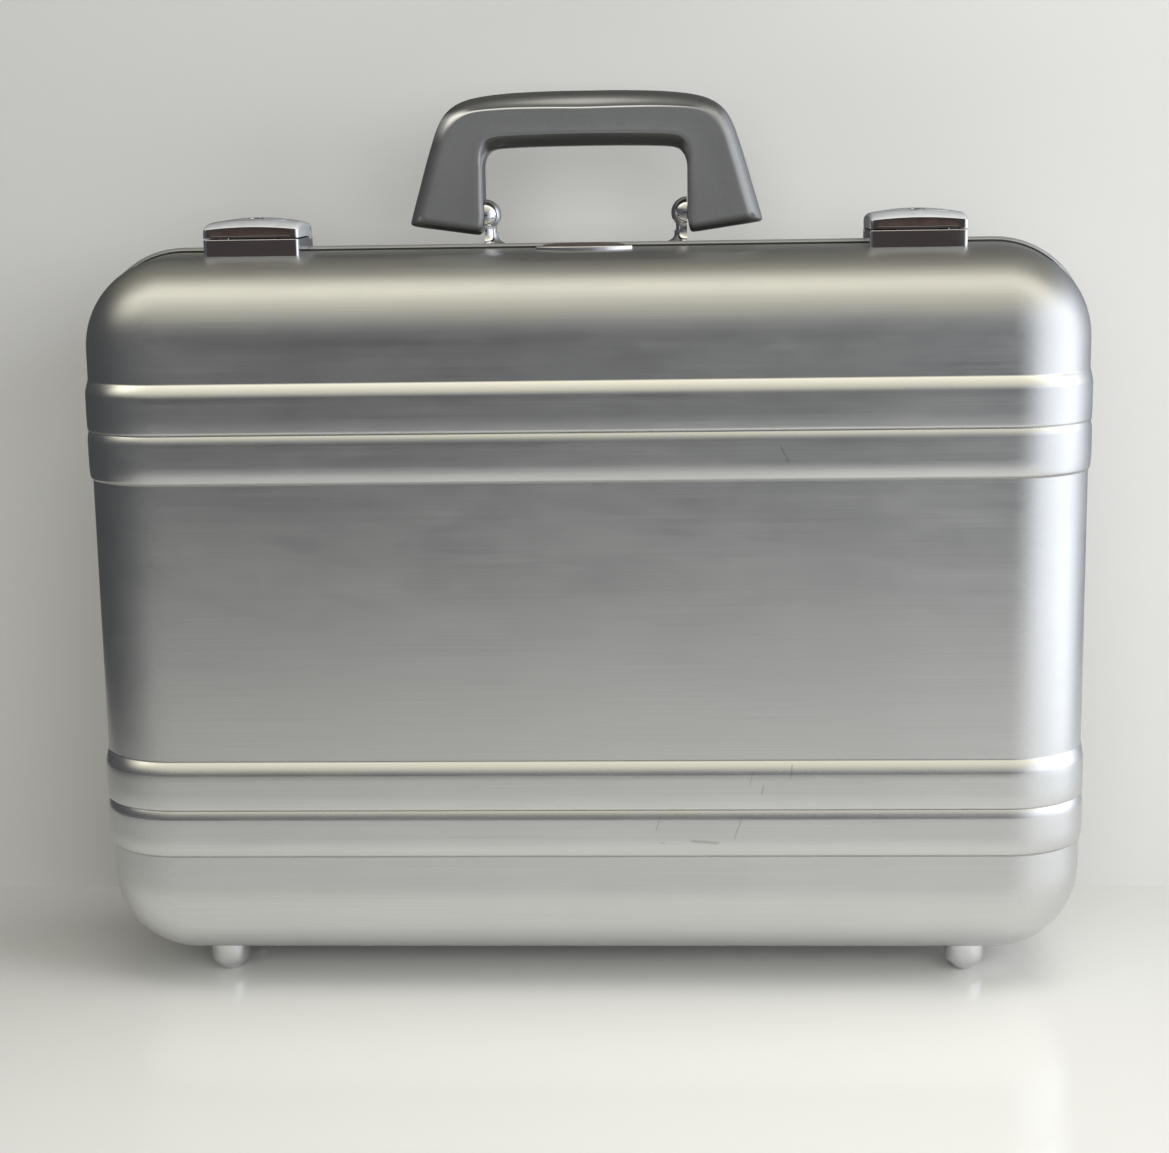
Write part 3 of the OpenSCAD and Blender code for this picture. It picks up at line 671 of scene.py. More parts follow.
def case_skin(name, way, sections, finish, beads=True, corner_steps=18, crown=None, proud=None):
    """A closed shell: the first section's outer face, over the rim, and back to the last one's face."""
    heights, widths = height_lines(), list(np.linspace(-MID_X, MID_X, 25))
    bm = bmesh.new()

    def point(x, z, r, depth, nr, nd, dx, dz, outer):
        lift = bead_profile(z) * bead_share(depth) if beads and outer and abs(z) < MID_Z else 0.0
        if proud and outer:
            lift += proud(depth, z + r * dz)
        if crown and not outer:
            lift = crown(x + r * dx, z + r * dz, depth)
        r, depth = r + nr * lift, depth + nd * lift
        return (x + r * dx, way * depth, CENTRE_Z + z + r * dz)

    rule = [(*p, True) for p in sections[0]] + [(*p, False) for s in sections[1:] for p in s]
    rows = []
    for x, z, dx, dz in stations(heights, widths, corner_steps):
        rows.append([point(x, z, r, d, nr, nd, dx, dz, out) for r, d, nr, nd, out in rule])
    add_grid(bm, rows, closed_u=True)
    for first, out in ((rule[0], True), (rule[-1], False)):
        rows = [[point(x, z, 0.0, first[1], 0.0, first[3], 1, 0, out) for z in heights] for x in widths]
        add_grid(bm, rows)
    return from_bmesh(name, bm, finish, sharp=50, merge=2e-5)


def rim_roll(outer, inner, start, radius):
    """The rounded edge between an outer and an inner face."""
    out = []
    for i in range(1, 7):
        a = math.pi * i / 7
        inset = (outer + inner) / 2 - (inner - outer) / 2 * math.cos(a)
        out.append((edge_at(inset, start), start + radius * (1 - math.sin(a)), 0.0, 0.0))
    return out


def inner_section(inset, start):
    return [(r, d, -nr, -nd) for r, d, nr, nd in wall_section(inset, start)[::-1]]


SEAL_H = 0.85


def rim_seal():
    """The rubber between the rims: the strip in the frames' groove and the thin edge that shows."""
    bm = node_bmesh("rim_gasket")
    half = SEAM * 0.9
    rows = []
    for x, z, dx, dz in stations([-MID_Z, MID_Z], [-MID_X, MID_X], 18):
        ends = clamp((z + dz * CORNER_R + MID_Z - 5) / 40.0)
        out = edge_at(0, 0) + SEAL_H * ends
        section = [(edge_at(1.3, 0), -half), (out - 0.2, -half), (out, -half * 0.4), (out, half * 0.4),
                   (out - 0.2, half), (edge_at(1.3, 0), half)]
        rows.append([(x + r * dx, depth, CENTRE_Z + z + r * dz) for r, depth in section])
    add_grid(bm, rows, closed_u=True, closed_v=True)
    piece = from_bmesh("rim_seal", bm, RUBBER, sharp=40)
    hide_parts("rim_gasket")
    put(piece, node_body("rim_gasket"))


WALL = 1.5


def pressed_shell(name, way):
    roll = 0.7
    outer = wall_section(0.0, SEAM + roll)
    sections = [outer, rim_roll(0.0, WALL, SEAM, roll), inner_section(WALL, SEAM + roll)]
    return case_skin(name, way, sections, ALUMINIUM, proud=lip if way > 0 else None)


for side_name, way, body in (("lid", -1, "lid"), ("base", 1, "base")):
    skin = pressed_shell(side_name + "_pressed_shell", way)
    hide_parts(side_name + "_shell")
    put(skin, body)


def leave_out(piece, hollows):
    """Cuts closed bmeshes out of a closed piece."""
    for bm in hollows:
        bmesh.ops.recalc_face_normals(bm, faces=bm.faces)
        mesh = bpy.data.meshes.new("hollow")
        bm.to_mesh(mesh)
        bm.free()
        tool = new_object("hollow", mesh)
        cut = piece.modifiers.new("cut", "BOOLEAN")
        cut.operation = "DIFFERENCE"
        cut.solver = "EXACT"
        cut.object = tool
        baked(piece)
        bpy.data.objects.remove(tool)
    mesh = piece.data
    mesh.polygons.foreach_set("use_smooth", [True] * len(mesh.polygons))
    mesh.set_sharp_from_angle(angle=math.radians(35))
    return piece


def add_box(bm, low, high):
    centre = (Vector(low) + Vector(high)) / 2 * MM
    size = (Vector(high) - Vector(low)) * MM
    place = Matrix.Translation(centre) @ Matrix.Diagonal((*size, 1))
    bmesh.ops.create_cube(bm, size=1, matrix=place)


def add_rod(bm, centre, radius, half, steps=32):
    """A rod along X."""
    place = Matrix.Translation(Vector(centre) * MM) @ Matrix.Rotation(math.pi / 2, 4, "Y")
    bmesh.ops.create_cone(bm, cap_ends=True, segments=steps, radius1=radius * MM, radius2=radius * MM,
                          depth=2 * half * MM, matrix=place)


def new_bm(maker, *values):
    bm = bmesh.new()
    maker(bm, *values)
    return bm


def close_ends(bm, rows):
    """Closes the first and the last ring of a loft."""
    bm.faces.new(rows[0])
    bm.faces.new(rows[-1][::-1])


def merged(node, finish):
    """A CAD node with its faces joined and smooth, standing for that node."""
    piece = from_bmesh(node + "_finished", node_bmesh(node), finish, sharp=30.0, merge=2e-6, outward=False)
    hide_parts(node)
    return put(piece, node_body(node))


# ---- Handle

PIVOT_Y = 14.0
PIVOT_Z = TOP_Z + 14.7
LEG_X = 47.3
GRIP_HALF_DEPTH = 10.5
# Left half of the grip's two edges, from the foot of the leg to the middle, over the pivot
GRIP_OUTER = [(-82.4, -4.4), (-80, 4), (-77.3, 13), (-74.4, 23), (-71.2, 33), (-68.4, 40.5), (-64.5, 46.8),
              (-58.5, 51.2), (-50, 53.8), (-36, 55.4), (-18, 56.1), (0, 56.2)]
GRIP_INNER = [(-48.6, -9.2), (-47.3, -2), (-47.3, 5), (-47.3, 11.5), (-47.3, 17.5), (-47.3, 20.8),
              (-46.9, 24), (-45.4, 27.2), (-42.4, 29.5), (-36, 30.4), (-18, 30.9), (0, 31)]


def cubic(a, b, c, d, steps):
    a, b, c, d = (np.array(p, float) for p in (a, b, c, d))
    out = []
    for i in range(1, steps + 1):
        t = i / steps
        out.append((1 - t) ** 3 * a + 3 * t * (1 - t) ** 2 * b + 3 * t * t * (1 - t) * c + t ** 3 * d)
    return out


def grip_section(width, bar, sag, pull_in, thin):
    """Half of the grip's section from the inner edge to the outer: across the leg, front to back.

    bar is 1 on the bar, where a crease parts the front from the rounded top, and 0 on the legs."""
    half = GRIP_HALF_DEPTH - thin
    wide = width - 2 * pull_in
    under = 2.6 + 3.4 * bar
    shoulder = sag * bar + 7.0 * (1 - bar)
    slant = math.radians(5 + 46 * bar)
    soft = 1.1
    foot = half - under * (0.8 + 0.35 * bar)
    pts = [np.array((0.0, t * foot)) for t in (0.0, 0.5, 1.0)]
    pts += cubic((0, foot), (0, foot + under * 0.3), (under * (0.4 + 0.35 * bar), half - 0.15 - 1.2 * bar),
                 (under, half), 7)
    face_end = wide - shoulder - soft
    for t in np.linspace(0, 1, 8)[1:]:
        pts.append(np.array((under + (face_end - under) * t, half - 0.3 * math.sin(math.pi * t))))
    turned = (face_end + soft + 0.6 * math.cos(slant), half - 0.6 * math.sin(slant))
    pts += cubic(pts[-1], (face_end + soft * 0.6, half), (face_end + soft, half), turned, 5)
    reach = shoulder * 0.42
    lean = (turned[0] + reach * math.cos(slant), turned[1] - reach * math.sin(slant))
    pts += cubic(turned, lean, (wide, half * 0.5), (wide, 0.0), 12)
    return [(p[0] + pull_in, p[1]) for p in pts]


def rounded_end(stop, radius):
    return radius - math.sqrt(max(radius ** 2 - max(radius - stop, 0) ** 2, 0))


def handle_grip():
    steps = 9
    outer = smooth_path(GRIP_OUTER, steps)
    inner = smooth_path(GRIP_INNER, steps)
    middle = [(a + b) / 2 for a, b in zip(outer, inner)]
    run = np.concatenate([[0], np.cumsum([np.linalg.norm(b - a) for a, b in zip(middle, middle[1:])])])
    cap = 6.0
    ends = [cap * (1 - math.cos(a)) for a in np.linspace(0.08, math.pi / 2, 12)]
    stops = sorted(set([round(e, 3) for e in ends] + [r for r in run if r > cap + 0.4]))
    rows = []
    for stop in stops:
        o = np.array([np.interp(stop, run, [p[k] for p in outer]) for k in (0, 1)])
        i = np.array([np.interp(stop, run, [p[k] for p in inner]) for k in (0, 1)])
        width = np.linalg.norm(o - i)
        across = (o - i) / width
        bar = clamp((stop / run[-1] - 0.36) / 0.2)
        bar = bar * bar * (3 - 2 * bar)
        sag = 7.8 - 2.0 * min(abs(o[0]) / 62, 1) ** 1.5
        half = grip_section(width, bar, sag, rounded_end(stop, 1.8), rounded_end(stop, cap))
        loop = half + [(u, -v) for u, v in half[-2:0:-1]]
        rows.append([(i + across * u, v) for u, v in loop])
    left = [[(p[0], PIVOT_Y - v, PIVOT_Z + p[1]) for p, v in row] for row in rows]
    right = [[(-x, y, z) for x, y, z in row] for row in left[:-1][::-1]]
    bm = bmesh.new()
    close_ends(bm, add_grid(bm, left + right, closed_v=True))
    grip = from_bmesh("grip", bm, GRIP)
    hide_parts("handle_grip")
    put(grip, "handle")


def handle_post(side, name):
    """Half-round post: flared flange, waist and ball, flat beside the grip's leg."""
    ball_r, ball_z = 7.3, PIVOT_Z
    flare = [(0.02, -1.2), (9.0, -1.2), (9.3, -0.9), (9.3, 1.2), (9.15, 1.6), (8.8, 1.8), (7.4, 2.4),
             (6.3, 3.5), (5.6, 5.0), (5.2, 6.6), (5.1, 8.2)]
    profile = [(r, TOP_Z + z) for r, z in flare]
    for a in np.linspace(math.radians(-44), math.pi / 2 - 0.02, 22):
        profile.append((ball_r * math.cos(a), ball_z + ball_r * math.sin(a)))
    bm = bmesh.new()
    start = math.pi / 2 if side > 0 else -math.pi / 2
    rows = lathe(bm, profile, (side * (LEG_X - 0.3), PIVOT_Y), 40, start, math.pi)
    bm.faces.new(rows[0] + rows[-1][::-1])
    piece = from_bmesh("post_" + name, bm, CHROME, sharp=45, merge=4e-5)
    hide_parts("handle_post_" + name)
    put(piece, "base")


# ---- Feet, badge and rivets

FOOT_X, FOOT_Y = 176.0, 20.0
HINGE_RIVET_PITCH = 46.0
LATCH_RIVET_X = 13.0


def foot_set(node, way, body):
    profile = [(0.02, 0), (2.4, 0.05), (3.6, 0.4), (4.6, 0.95), (5.4, 1.6), (6.1, 2.4), (6.6, 3.3),
               (6.8, 3.9), (7.6, 4.2), (8.5, 4.7), (9.1, 5.3), (9.2, 5.9), (9.2, 10), (9.2, 14.6),
               (0.02, 14.6)]
    bm = bmesh.new()
    for side in (-1, 1):
        lathe(bm, profile, (side * FOOT_X, way * FOOT_Y), 48)
    piece = from_bmesh(node + "_turned", bm, FOOT_METAL, sharp=50, merge=4e-5)
    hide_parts(node)
    put(piece, body)


def badge():
    """Lens-shaped plate: a bright raised rim round a dark domed middle."""
    half_x, half_y, middle_y = 22.0, 7.5, -12.0
    arc_r = (half_x ** 2 + half_y ** 2) / (2 * half_y)
    steps = 40

    def outline(inset):
        r = arc_r - inset
        reach = math.asin(math.sqrt(max(r * r - (arc_r - half_y) ** 2, 0)) / r)
        pts = []
        for way in (1, -1):
            for k in range(steps):
                a = way * (reach - 2 * reach * k / steps)
                pts.append((r * math.sin(a), way * (r * math.cos(a) - arc_r + half_y)))
        return pts

    # Inset, height over the top and finish of each ring
    levels = [(0.0, -1.9, 0), (0.0, 0.5, 0), (0.12, 0.85, 0), (0.4, 1.05, 0), (0.75, 1.08, 0),
              (0.95, 1.0, 0), (1.05, 0.95, 1), (1.4, 1.25, 1), (2.2, 1.7, 1), (3.4, 2.1, 1),
              (5.0, 2.4, 1), (6.6, 2.5, 1)]
    bm = bmesh.new()
    rings = [[bm.verts.new(Vector((x, middle_y + y, TOP_Z + rise)) * MM) for x, y in outline(inset)]
             for inset, rise, _ in levels]
    for k, (a, b) in enumerate(zip(rings, rings[1:])):
        for i in range(2 * steps):
            j = (i + 1) % (2 * steps)
            bm.faces.new((a[i], a[j], b[j], b[i])).material_index = levels[k + 1][2]
    bm.faces.new(rings[-1]).material_index = 1
    bm.faces.new(rings[0][::-1])
    piece = from_bmesh("badge", bm, [CHROME, DARK_ENAMEL_AND_RECESS_SHADE], sharp=50)
    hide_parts("badge_plate")
    put(piece, "lid")


def scatter_tree():
    """Node group: puts the unit on each point, turned as the point says, and gives it its finish."""
    tree = bpy.data.node_groups.new("set_out", "GeometryNodeTree")
    face = tree.interface
    face.new_socket("Places", in_out="INPUT", socket_type="NodeSocketGeometry")
    unit = face.new_socket("Unit", in_out="INPUT", socket_type="NodeSocketObject")
    finish = face.new_socket("Finish", in_out="INPUT", socket_type="NodeSocketMaterial")
    face.new_socket("Set", in_out="OUTPUT", socket_type="NodeSocketGeometry")
    nodes, links = tree.nodes, tree.links
    given = nodes.new("NodeGroupInput")
    info = nodes.new("GeometryNodeObjectInfo")
    turn = nodes.new("GeometryNodeInputNamedAttribute")
    turn.data_type = "FLOAT_VECTOR"
    turn.inputs["Name"].default_value = "turn"
    put_on = nodes.new("GeometryNodeInstanceOnPoints")
    real = nodes.new("GeometryNodeRealizeInstances")
    dressed = nodes.new("GeometryNodeSetMaterial")
    result = nodes.new("NodeGroupOutput")
    links.new(given.outputs["Places"], put_on.inputs["Points"])
    links.new(given.outputs["Unit"], info.inputs["Object"])
    links.new(info.outputs["Geometry"], put_on.inputs["Instance"])
    links.new(turn.outputs["Attribute"], put_on.inputs["Rotation"])
    links.new(put_on.outputs["Instances"], real.inputs["Geometry"])
    links.new(real.outputs["Geometry"], dressed.inputs["Geometry"])
    links.new(given.outputs["Finish"], dressed.inputs["Material"])
    links.new(dressed.outputs["Geometry"], result.inputs["Set"])
    return tree, unit.identifier, finish.identifier


def set_out(name, unit_bm, places, finish, body):
    """Repeats a small shape at (place, turn) pairs, as one piece on one body."""
    bmesh.ops.recalc_face_normals(unit_bm, faces=unit_bm.faces)
    unit_mesh = bpy.data.meshes.new("unit")
    unit_bm.to_mesh(unit_mesh)
    unit_bm.free()
    unit_mesh.polygons.foreach_set("use_smooth", [True] * len(unit_mesh.polygons))
    unit = bpy.data.objects.new("unit", unit_mesh)
    mesh = bpy.data.meshes.new(name)
    mesh.from_pydata([Vector(p) * MM for p, _ in places], [], [])
    turns = mesh.attributes.new("turn", "FLOAT_VECTOR", "POINT")
    turns.data.foreach_set("vector", [v for _, turn in places for v in turn])
    piece = new_object(name, mesh)
    tree, unit_id, finish_id = scatter_tree()
    nodes = piece.modifiers.new("set_out", "NODES")
    nodes.node_group = tree
    nodes[unit_id] = unit
    nodes[finish_id] = finish
    baked(piece)
    bpy.data.objects.remove(unit)
    return put(piece, body)


def rivet_unit(length, tail=1.9):
    """Domed head over z = 0, shank down to a flat tail."""
    bm = bmesh.new()
    profile = [(0.02, 0.8), (0.9, 0.72), (1.6, 0.45), (2.1, 0.1), (2.25, -0.05), (1.2, -0.05),
               (1.2, -length), (tail, -length), (tail - 0.2, -length - 0.7), (0.02, -length - 0.7)]
    lathe(bm, profile, (0, 0), 16)
    bmesh.ops.remove_doubles(bm, verts=bm.verts, dist=4e-5)
    return bm


def rivets():
    for node, way, body in (("hinge_rivets_base", 1, "base"), ("hinge_rivets_lid", -1, "lid")):
        places = [((i * HINGE_RIVET_PITCH, way * 8.0, FOOT_H - 1.15), (math.pi, 0, 0))
                  for i in np.arange(-3.5, 4)]
        made = set_out(node + "_set", rivet_unit(5.5), places, FASTENER_STEEL, body)
        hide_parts(node)
    for node, y, body, length in (("latch_base_rivets", 8.0, "base", 5.5),
                                  ("latch_keeper_rivets", -20.0, "lid", 4.4)):
        places = [((side * LATCH_X + part * LATCH_RIVET_X, y, TOP_Z + 1.2), (0, 0, 0))
                  for side in (-1, 1) for part in (-1, 1)]
        made = set_out(node + "_set", rivet_unit(length), places, FASTENER_STEEL, body)
        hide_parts(node)


# ---- Latches, drawn about x = 0

LATCH_X = 150.5
LATCH_HALF = 21.9
LATCH_FRONT = -25.4
SILL_Z = TOP_Z + 6.5
LEVER_LOW = SILL_Z + 0.6
LEVER_PIVOT = (7.5, TOP_Z + 9.4)
BARREL_R = 5.6
CORNER = 1.7
# Roof of the lever: how far back, and how high over the lower edge
ROOF = [(-25.4, 5.0), (-24.9, 5.5), (-23.6, 6.1), (-21, 7.0), (-17, 7.8), (-10, 8.5), (-3, 8.7), (2, 8.45),
        (5, 8.1), (7.5, 7.9)]


def end_inset(x, half):
    """How far the cover pulls in near its ends, for rounded corners."""
    over = abs(x) - (half - CORNER)
    return CORNER - math.sqrt(max(CORNER ** 2 - over ** 2, 0)) if over > 0 else 0.0


def roof_drop(x, y):
    """The cover arches across its width, more at the back."""
    back = clamp((y - LATCH_FRONT) / 24)
    return (1.3 + 1.1 * back) * (x / LATCH_HALF) ** 2


def lever_outline(x, inset):
    """Side view of the cover at x, pulled in by an inset."""
    pts = [(LATCH_FRONT + inset, LEVER_LOW)]
    for y, rise in ROOF:
        pts.append((max(y, LATCH_FRONT + inset), LEVER_LOW + rise - inset - roof_drop(x, y)))
    drop = roof_drop(x, LEVER_PIVOT[0])
    for a in np.linspace(80, -70, 16):
        reach = BARREL_R - inset
        t = math.radians(a)
        lift = drop * max(math.sin(t), 0)
        pts.append((LEVER_PIVOT[0] + reach * math.cos(t), LEVER_PIVOT[1] + reach * math.sin(t) - lift))
    pts.append((LEVER_PIVOT[0] - 1, LEVER_PIVOT[1] - BARREL_R + inset))
    pts.append((LEVER_PIVOT[0] - 6.5, LEVER_LOW))
    return pts


def lofted(stations, section):
    bm = bmesh.new()
    rows = [[(x, y, z) for y, z in section(x)] for x in stations]
    close_ends(bm, add_grid(bm, rows, closed_v=True))
    return bm


def ring_groove(centre_x):
    """Cutter for the shallow oval line on the cover's top."""
    rows = []
    for k in range(96):
        a = 2 * math.pi * k / 96
        x, y = 15.5 * math.cos(a), -9.0 + 8.6 * math.sin(a)
        z = LEVER_LOW + float(np.interp(y, [p[0] for p in ROOF], [p[1] for p in ROOF])) - roof_drop(x, y)
        rows.append([(centre_x + (15.5 + r) / 15.5 * x, -9.0 + (8.6 + r) / 8.6 * (y + 9.0), z + h)
                     for r, h in ((-0.35, 0.4), (0.35, 0.4), (0.2, -0.28), (-0.2, -0.28))])
    bm = bmesh.new()
    add_grid(bm, rows, closed_u=True, closed_v=True)
    return bm


def scoop(centre_x):
    """Cutter for the panel sunk in the cover's front."""
    rows = []
    for x in np.linspace(-18.2, 18.2, 25):
        t = abs(x) / 18.2
        top = LEVER_LOW + 4.5 - 1.1 * t * t - (0.5 * (t - 0.93) / 0.07 if t > 0.93 else 0)
        deep = 0.95 - 0.5 * t * t
        section = [(LATCH_FRONT - 1, LEVER_LOW + 0.75), (LATCH_FRONT - 1, top),
                   (LATCH_FRONT + deep, top - 0.25), (LATCH_FRONT + deep, LEVER_LOW + 0.95)]
        rows.append([(centre_x + x, y, z) for y, z in section])
    bm = bmesh.new()
    close_ends(bm, add_grid(bm, rows, closed_v=True))
    return bm


def latch_lever(side, name):
    cx = side * LATCH_X
    ends = [LATCH_HALF - CORNER * (1 - math.sin(a)) for a in np.linspace(0, math.pi / 2, 6)]
    half = list(np.linspace(0, LATCH_HALF - CORNER, 9)) + ends[1:]
    across = [-x for x in half[:0:-1]] + half
    piece = from_bmesh("latch_cover_" + name, lofted([cx + x for x in across], lambda x: lever_outline(
        x - cx, end_inset(x - cx, LATCH_HALF))), CHROME, sharp=40)
    wall = 1.9
    inner_half = LATCH_HALF - wall

    def cavity(x):
        pts = lever_outline(x - cx, wall)
        return [(y, z if z > LEVER_LOW + 0.01 else LEVER_LOW - 4) for y, z in pts]

    low, high = LEVER_PIVOT[1] - 16, LEVER_PIVOT[1] + 3.8
    hollows = [lofted([cx + x for x in np.linspace(-inner_half, inner_half, 15)], cavity)]
    for part in (-1, 1):
        a, b = sorted((cx + part * 17.2, cx + part * 19.8))
        hollows.append(new_bm(add_box, (a, LEVER_PIVOT[0] - 3.7, low), (b, LEVER_PIVOT[0] + 16, high)))
    hollows.append(new_bm(add_rod, (cx, *LEVER_PIVOT), 1.56, 24))
    hollows.append(ring_groove(cx))
    hollows.append(scoop(cx))
    lock = bmesh.new()
    lathe(lock, [(0.02, LEVER_LOW), (4.06, LEVER_LOW), (4.06, LEVER_LOW + 20), (0.02, LEVER_LOW + 20)],
          (cx, -12.0), 40)
    bmesh.ops.remove_doubles(lock, verts=lock.verts, dist=4e-5)
    hollows.append(lock)
    leave_out(piece, hollows)
    bm = bmesh.new()
    bm.from_mesh(piece.data)
    for part in (-1, 1):
        a, b = sorted((cx + part * 9.6, cx + part * 11.5))
        add_box(bm, (a, -4.2, TOP_Z + 8.6), (b, 0.2, TOP_Z + 14.2))
    bm.to_mesh(piece.data)
    bm.free()
    # The dark enamel on the sunk panel's floor is painted shade in the recess.
    piece.data.materials.append(DARK_ENAMEL_AND_RECESS_SHADE)
    piece.data.materials.append(SATIN_CHROME)
    paint_cover(piece, cx)
    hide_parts("latch_lever_" + name)
    put(piece, "latch_lever_" + name)


def paint_cover(piece, cx):
    """The sunk panel's floor takes the dark enamel as painted shade, and the top and the ends the satin
    one.
    """
    for face in piece.data.polygons:
        c = face.center / MM
        x = c.x - cx
        at_end = abs(x) > 20 and x * face.normal.x > 17
        if face.normal.y < -0.8 and LATCH_FRONT + 0.2 < c.y < LATCH_FRONT + 1.2 and abs(x) < 18.4:
            face.material_index = 1
        elif c.z > LEVER_LOW and (face.normal.z > 0.5 or at_end):
            face.material_index = 2


def cut_edges(bm, wanted, width, segments):
    edges = [e for e in bm.edges if len(e.link_faces) == 2 and e.calc_face_angle(0) > 0.5
             and wanted(e.verts[0].co / MM, e.verts[1].co / MM)]
    bmesh.ops.bevel(bm, geom=edges, offset=width * MM, segments=segments, profile=0.5, affect="EDGES",
                    clamp_overlap=True)


def latch_keeper(side, name):
    cx = side * LATCH_X
    bm = solid_copy("latch_keeper_" + name)

    def corner(a, b):
        return (abs(abs(a.x - cx) - LATCH_HALF) < 0.05 and abs(a.y - LATCH_FRONT) < 0.05
                and abs(a.x - b.x) < 0.01 and abs(a.y - b.y) < 0.01)

    def brim(a, b):
        return a.z > SILL_Z - 0.05 and b.z > SILL_Z - 0.05 and abs(a.y + 12.75) > 1 and abs(b.y + 12.75) > 1

    cut_edges(bm, corner, CORNER, 5)
    cut_edges(bm, brim, 0.35, 3)
    piece = from_bmesh("keeper_" + name, bm, CHROME, sharp=35, outward=False)
    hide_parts("latch_keeper_" + name)
    put(piece, "lid")


def latch_parts():
    for name, side in SIDES.items():
        latch_lever(side, name)
        latch_keeper(side, name)
        for node, body, finish, slot_name in (
                ("latch_base_", "base", CHROME, "chrome"),
                ("latch_claw_", "latch_claw_", HINGE_STEEL, "chrome"),
                ("lock_plug_", "lock_plug_", FASTENER_STEEL, "chrome")):
            piece = eased(node + name, finish, 0.18)
            put(piece, body + name if body.endswith("_") else body)


# ---- Linings and organiser

LINING_START = 11.0
LINING_OUT, LINING_IN = 1.95, 3.9


def soft_lift(x, z, depth):
    """Slight unevenness of the foam under the cloth."""
    return 0.35 * noise.noise(Vector((x * 0.02, z * 0.02, depth * 0.03)))


def lining(name, way, body):
    roll = 0.9
    sections = [wall_section(LINING_OUT, LINING_START + roll, 14),
                rim_roll(LINING_OUT, LINING_IN, LINING_START, roll),
                inner_section(LINING_IN, LINING_START + roll)]
    piece = case_skin(name + "_lining", way, sections, LINING, beads=False, corner_steps=12,
                      crown=soft_lift)
    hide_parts(name + "_liner")
    put(piece, body)
    bm = bmesh.new()
    r = edge_at(LINING_IN + 0.3, LINING_START + 0.7)
    rows = []
    heights, widths = list(np.linspace(-MID_Z, MID_Z, 30)), list(np.linspace(-MID_X, MID_X, 40))
    for x, z, dx, dz in stations(heights, widths, 12):
        ring = [(math.cos(a), math.sin(a)) for a in np.linspace(0, 2 * math.pi, 10, endpoint=False)]
        rows.append([(x + (r + 1.1 * c) * dx, way * (LINING_START + 0.7 + 1.1 * s),
                      CENTRE_Z + z + (r + 1.1 * c) * dz) for c, s in ring])
    add_grid(bm, rows, closed_u=True, closed_v=True)
    put(from_bmesh(name + "_lining_piping", bm, LEATHER), body)


def pillow(name, low, high, crown, finish):
    """A stitched flat pocket standing in the lid: its front bulges between seams near its edges."""
    x0, y0, z0 = low
    x1, y1, z1 = high
    nx, nz = max(int((x1 - x0) / 4), 8), max(int((z1 - z0) / 4), 8)
    bm = bmesh.new()

    def share(t, span):
        edge = min(t, 1 - t) * span
        seam, round_r = 4.0, 1.2
        rise = min(edge / round_r, 1)
        dip = 1 - 0.35 * math.exp(-((edge - seam) / 0.9) ** 2)
        return math.sqrt(max(1 - (1 - rise) ** 2, 0)) * dip, clamp((edge - seam) / 30)

    def spread(n, span):
        """Parameters close together near both edges."""
        marks = [0, 0.25, 0.6, 1.0, 1.6, 2.6, 3.4, 4.0, 4.6, 5.6]
        inner = list(np.linspace(7.5, span - 7.5, n))
        return [m / span for m in marks + inner + [span - m for m in marks[::-1]]]

    us, vs = spread(nx, x1 - x0), spread(nz, z1 - z0)
    thick = y1 - y0
    front, back = [], []
    for u in us:
        row_f, row_b = [], []
        for v in vs:
            (a, ca), (b, cb) = share(u, x1 - x0), share(v, z1 - z0)
            x, z = x0 + u * (x1 - x0), z0 + v * (z1 - z0)
            swell_up = crown * (ca * (2 - ca)) * (cb * (2 - cb))
            fold = 0.25 * noise.noise(Vector((x * 0.03, z * 0.05, 7.0))) * min(a, b)
            row_f.append((x, y0 + 0.3 + (thick - crown - 0.3) * a * b + swell_up + fold, z))
            row_b.append((x, y0, z))
        front.append(row_f)
        back.append(row_b)
    add_grid(bm, front)
    add_grid(bm, back)
    rim = [(i, 0) for i in range(len(us))] + [(len(us) - 1, j) for j in range(1, len(vs))]
    rim += [(i, len(vs) - 1) for i in range(len(us) - 2, -1, -1)]
    rim += [(0, j) for j in range(len(vs) - 2, 0, -1)]
    rows = [[front[i][j], back[i][j]] for i, j in rim]
    add_grid(bm, rows, closed_u=True)
    return from_bmesh(name, bm, finish, sharp=60, merge=1e-5)


def puffed(piece, low, high, cap_mm):
    """Blows the front of a pocket up a little as cloth, held at its back and its seams."""
    held = piece.vertex_groups.new(name="held")
    inside = 5.5
    for vertex in piece.data.vertices:
        x, y, z = vertex.co / MM
        edge = min(x - low[0], high[0] - x, z - low[2], high[2] - z)
        if edge < inside or y < low[1] + 0.3:
            held.add([vertex.index], 1.0, "REPLACE")
    rest = np.array([v.co for v in piece.data.vertices])
    cloth = piece.modifiers.new("cloth", "CLOTH")
    cloth.settings.vertex_group_mass = "held"
    cloth.settings.use_pressure = True
    cloth.settings.uniform_pressure_force = 3.0
    cloth.settings.shrink_min = -0.012
    cloth.settings.bending_stiffness = 2.0
    cloth.settings.effector_weights.gravity = 0
    cloth.point_cache.frame_end = 20
    for step in range(1, 21):
        bpy.context.scene.frame_set(step)
    baked(piece)
    bpy.context.scene.frame_set(1)
    shift = np.array([v.co for v in piece.data.vertices]) - rest
    size = np.linalg.norm(shift, axis=1)
    now = rest + shift * np.minimum(1.0, cap_mm * MM / np.maximum(size, 1e-9))[:, None]
    now[:, 1] = np.clip(now[:, 1], rest[:, 1].min(), high[1] * MM)
    for vertex, place in zip(piece.data.vertices, now):
        vertex.co = place
    piece.vertex_groups.clear()
    return piece


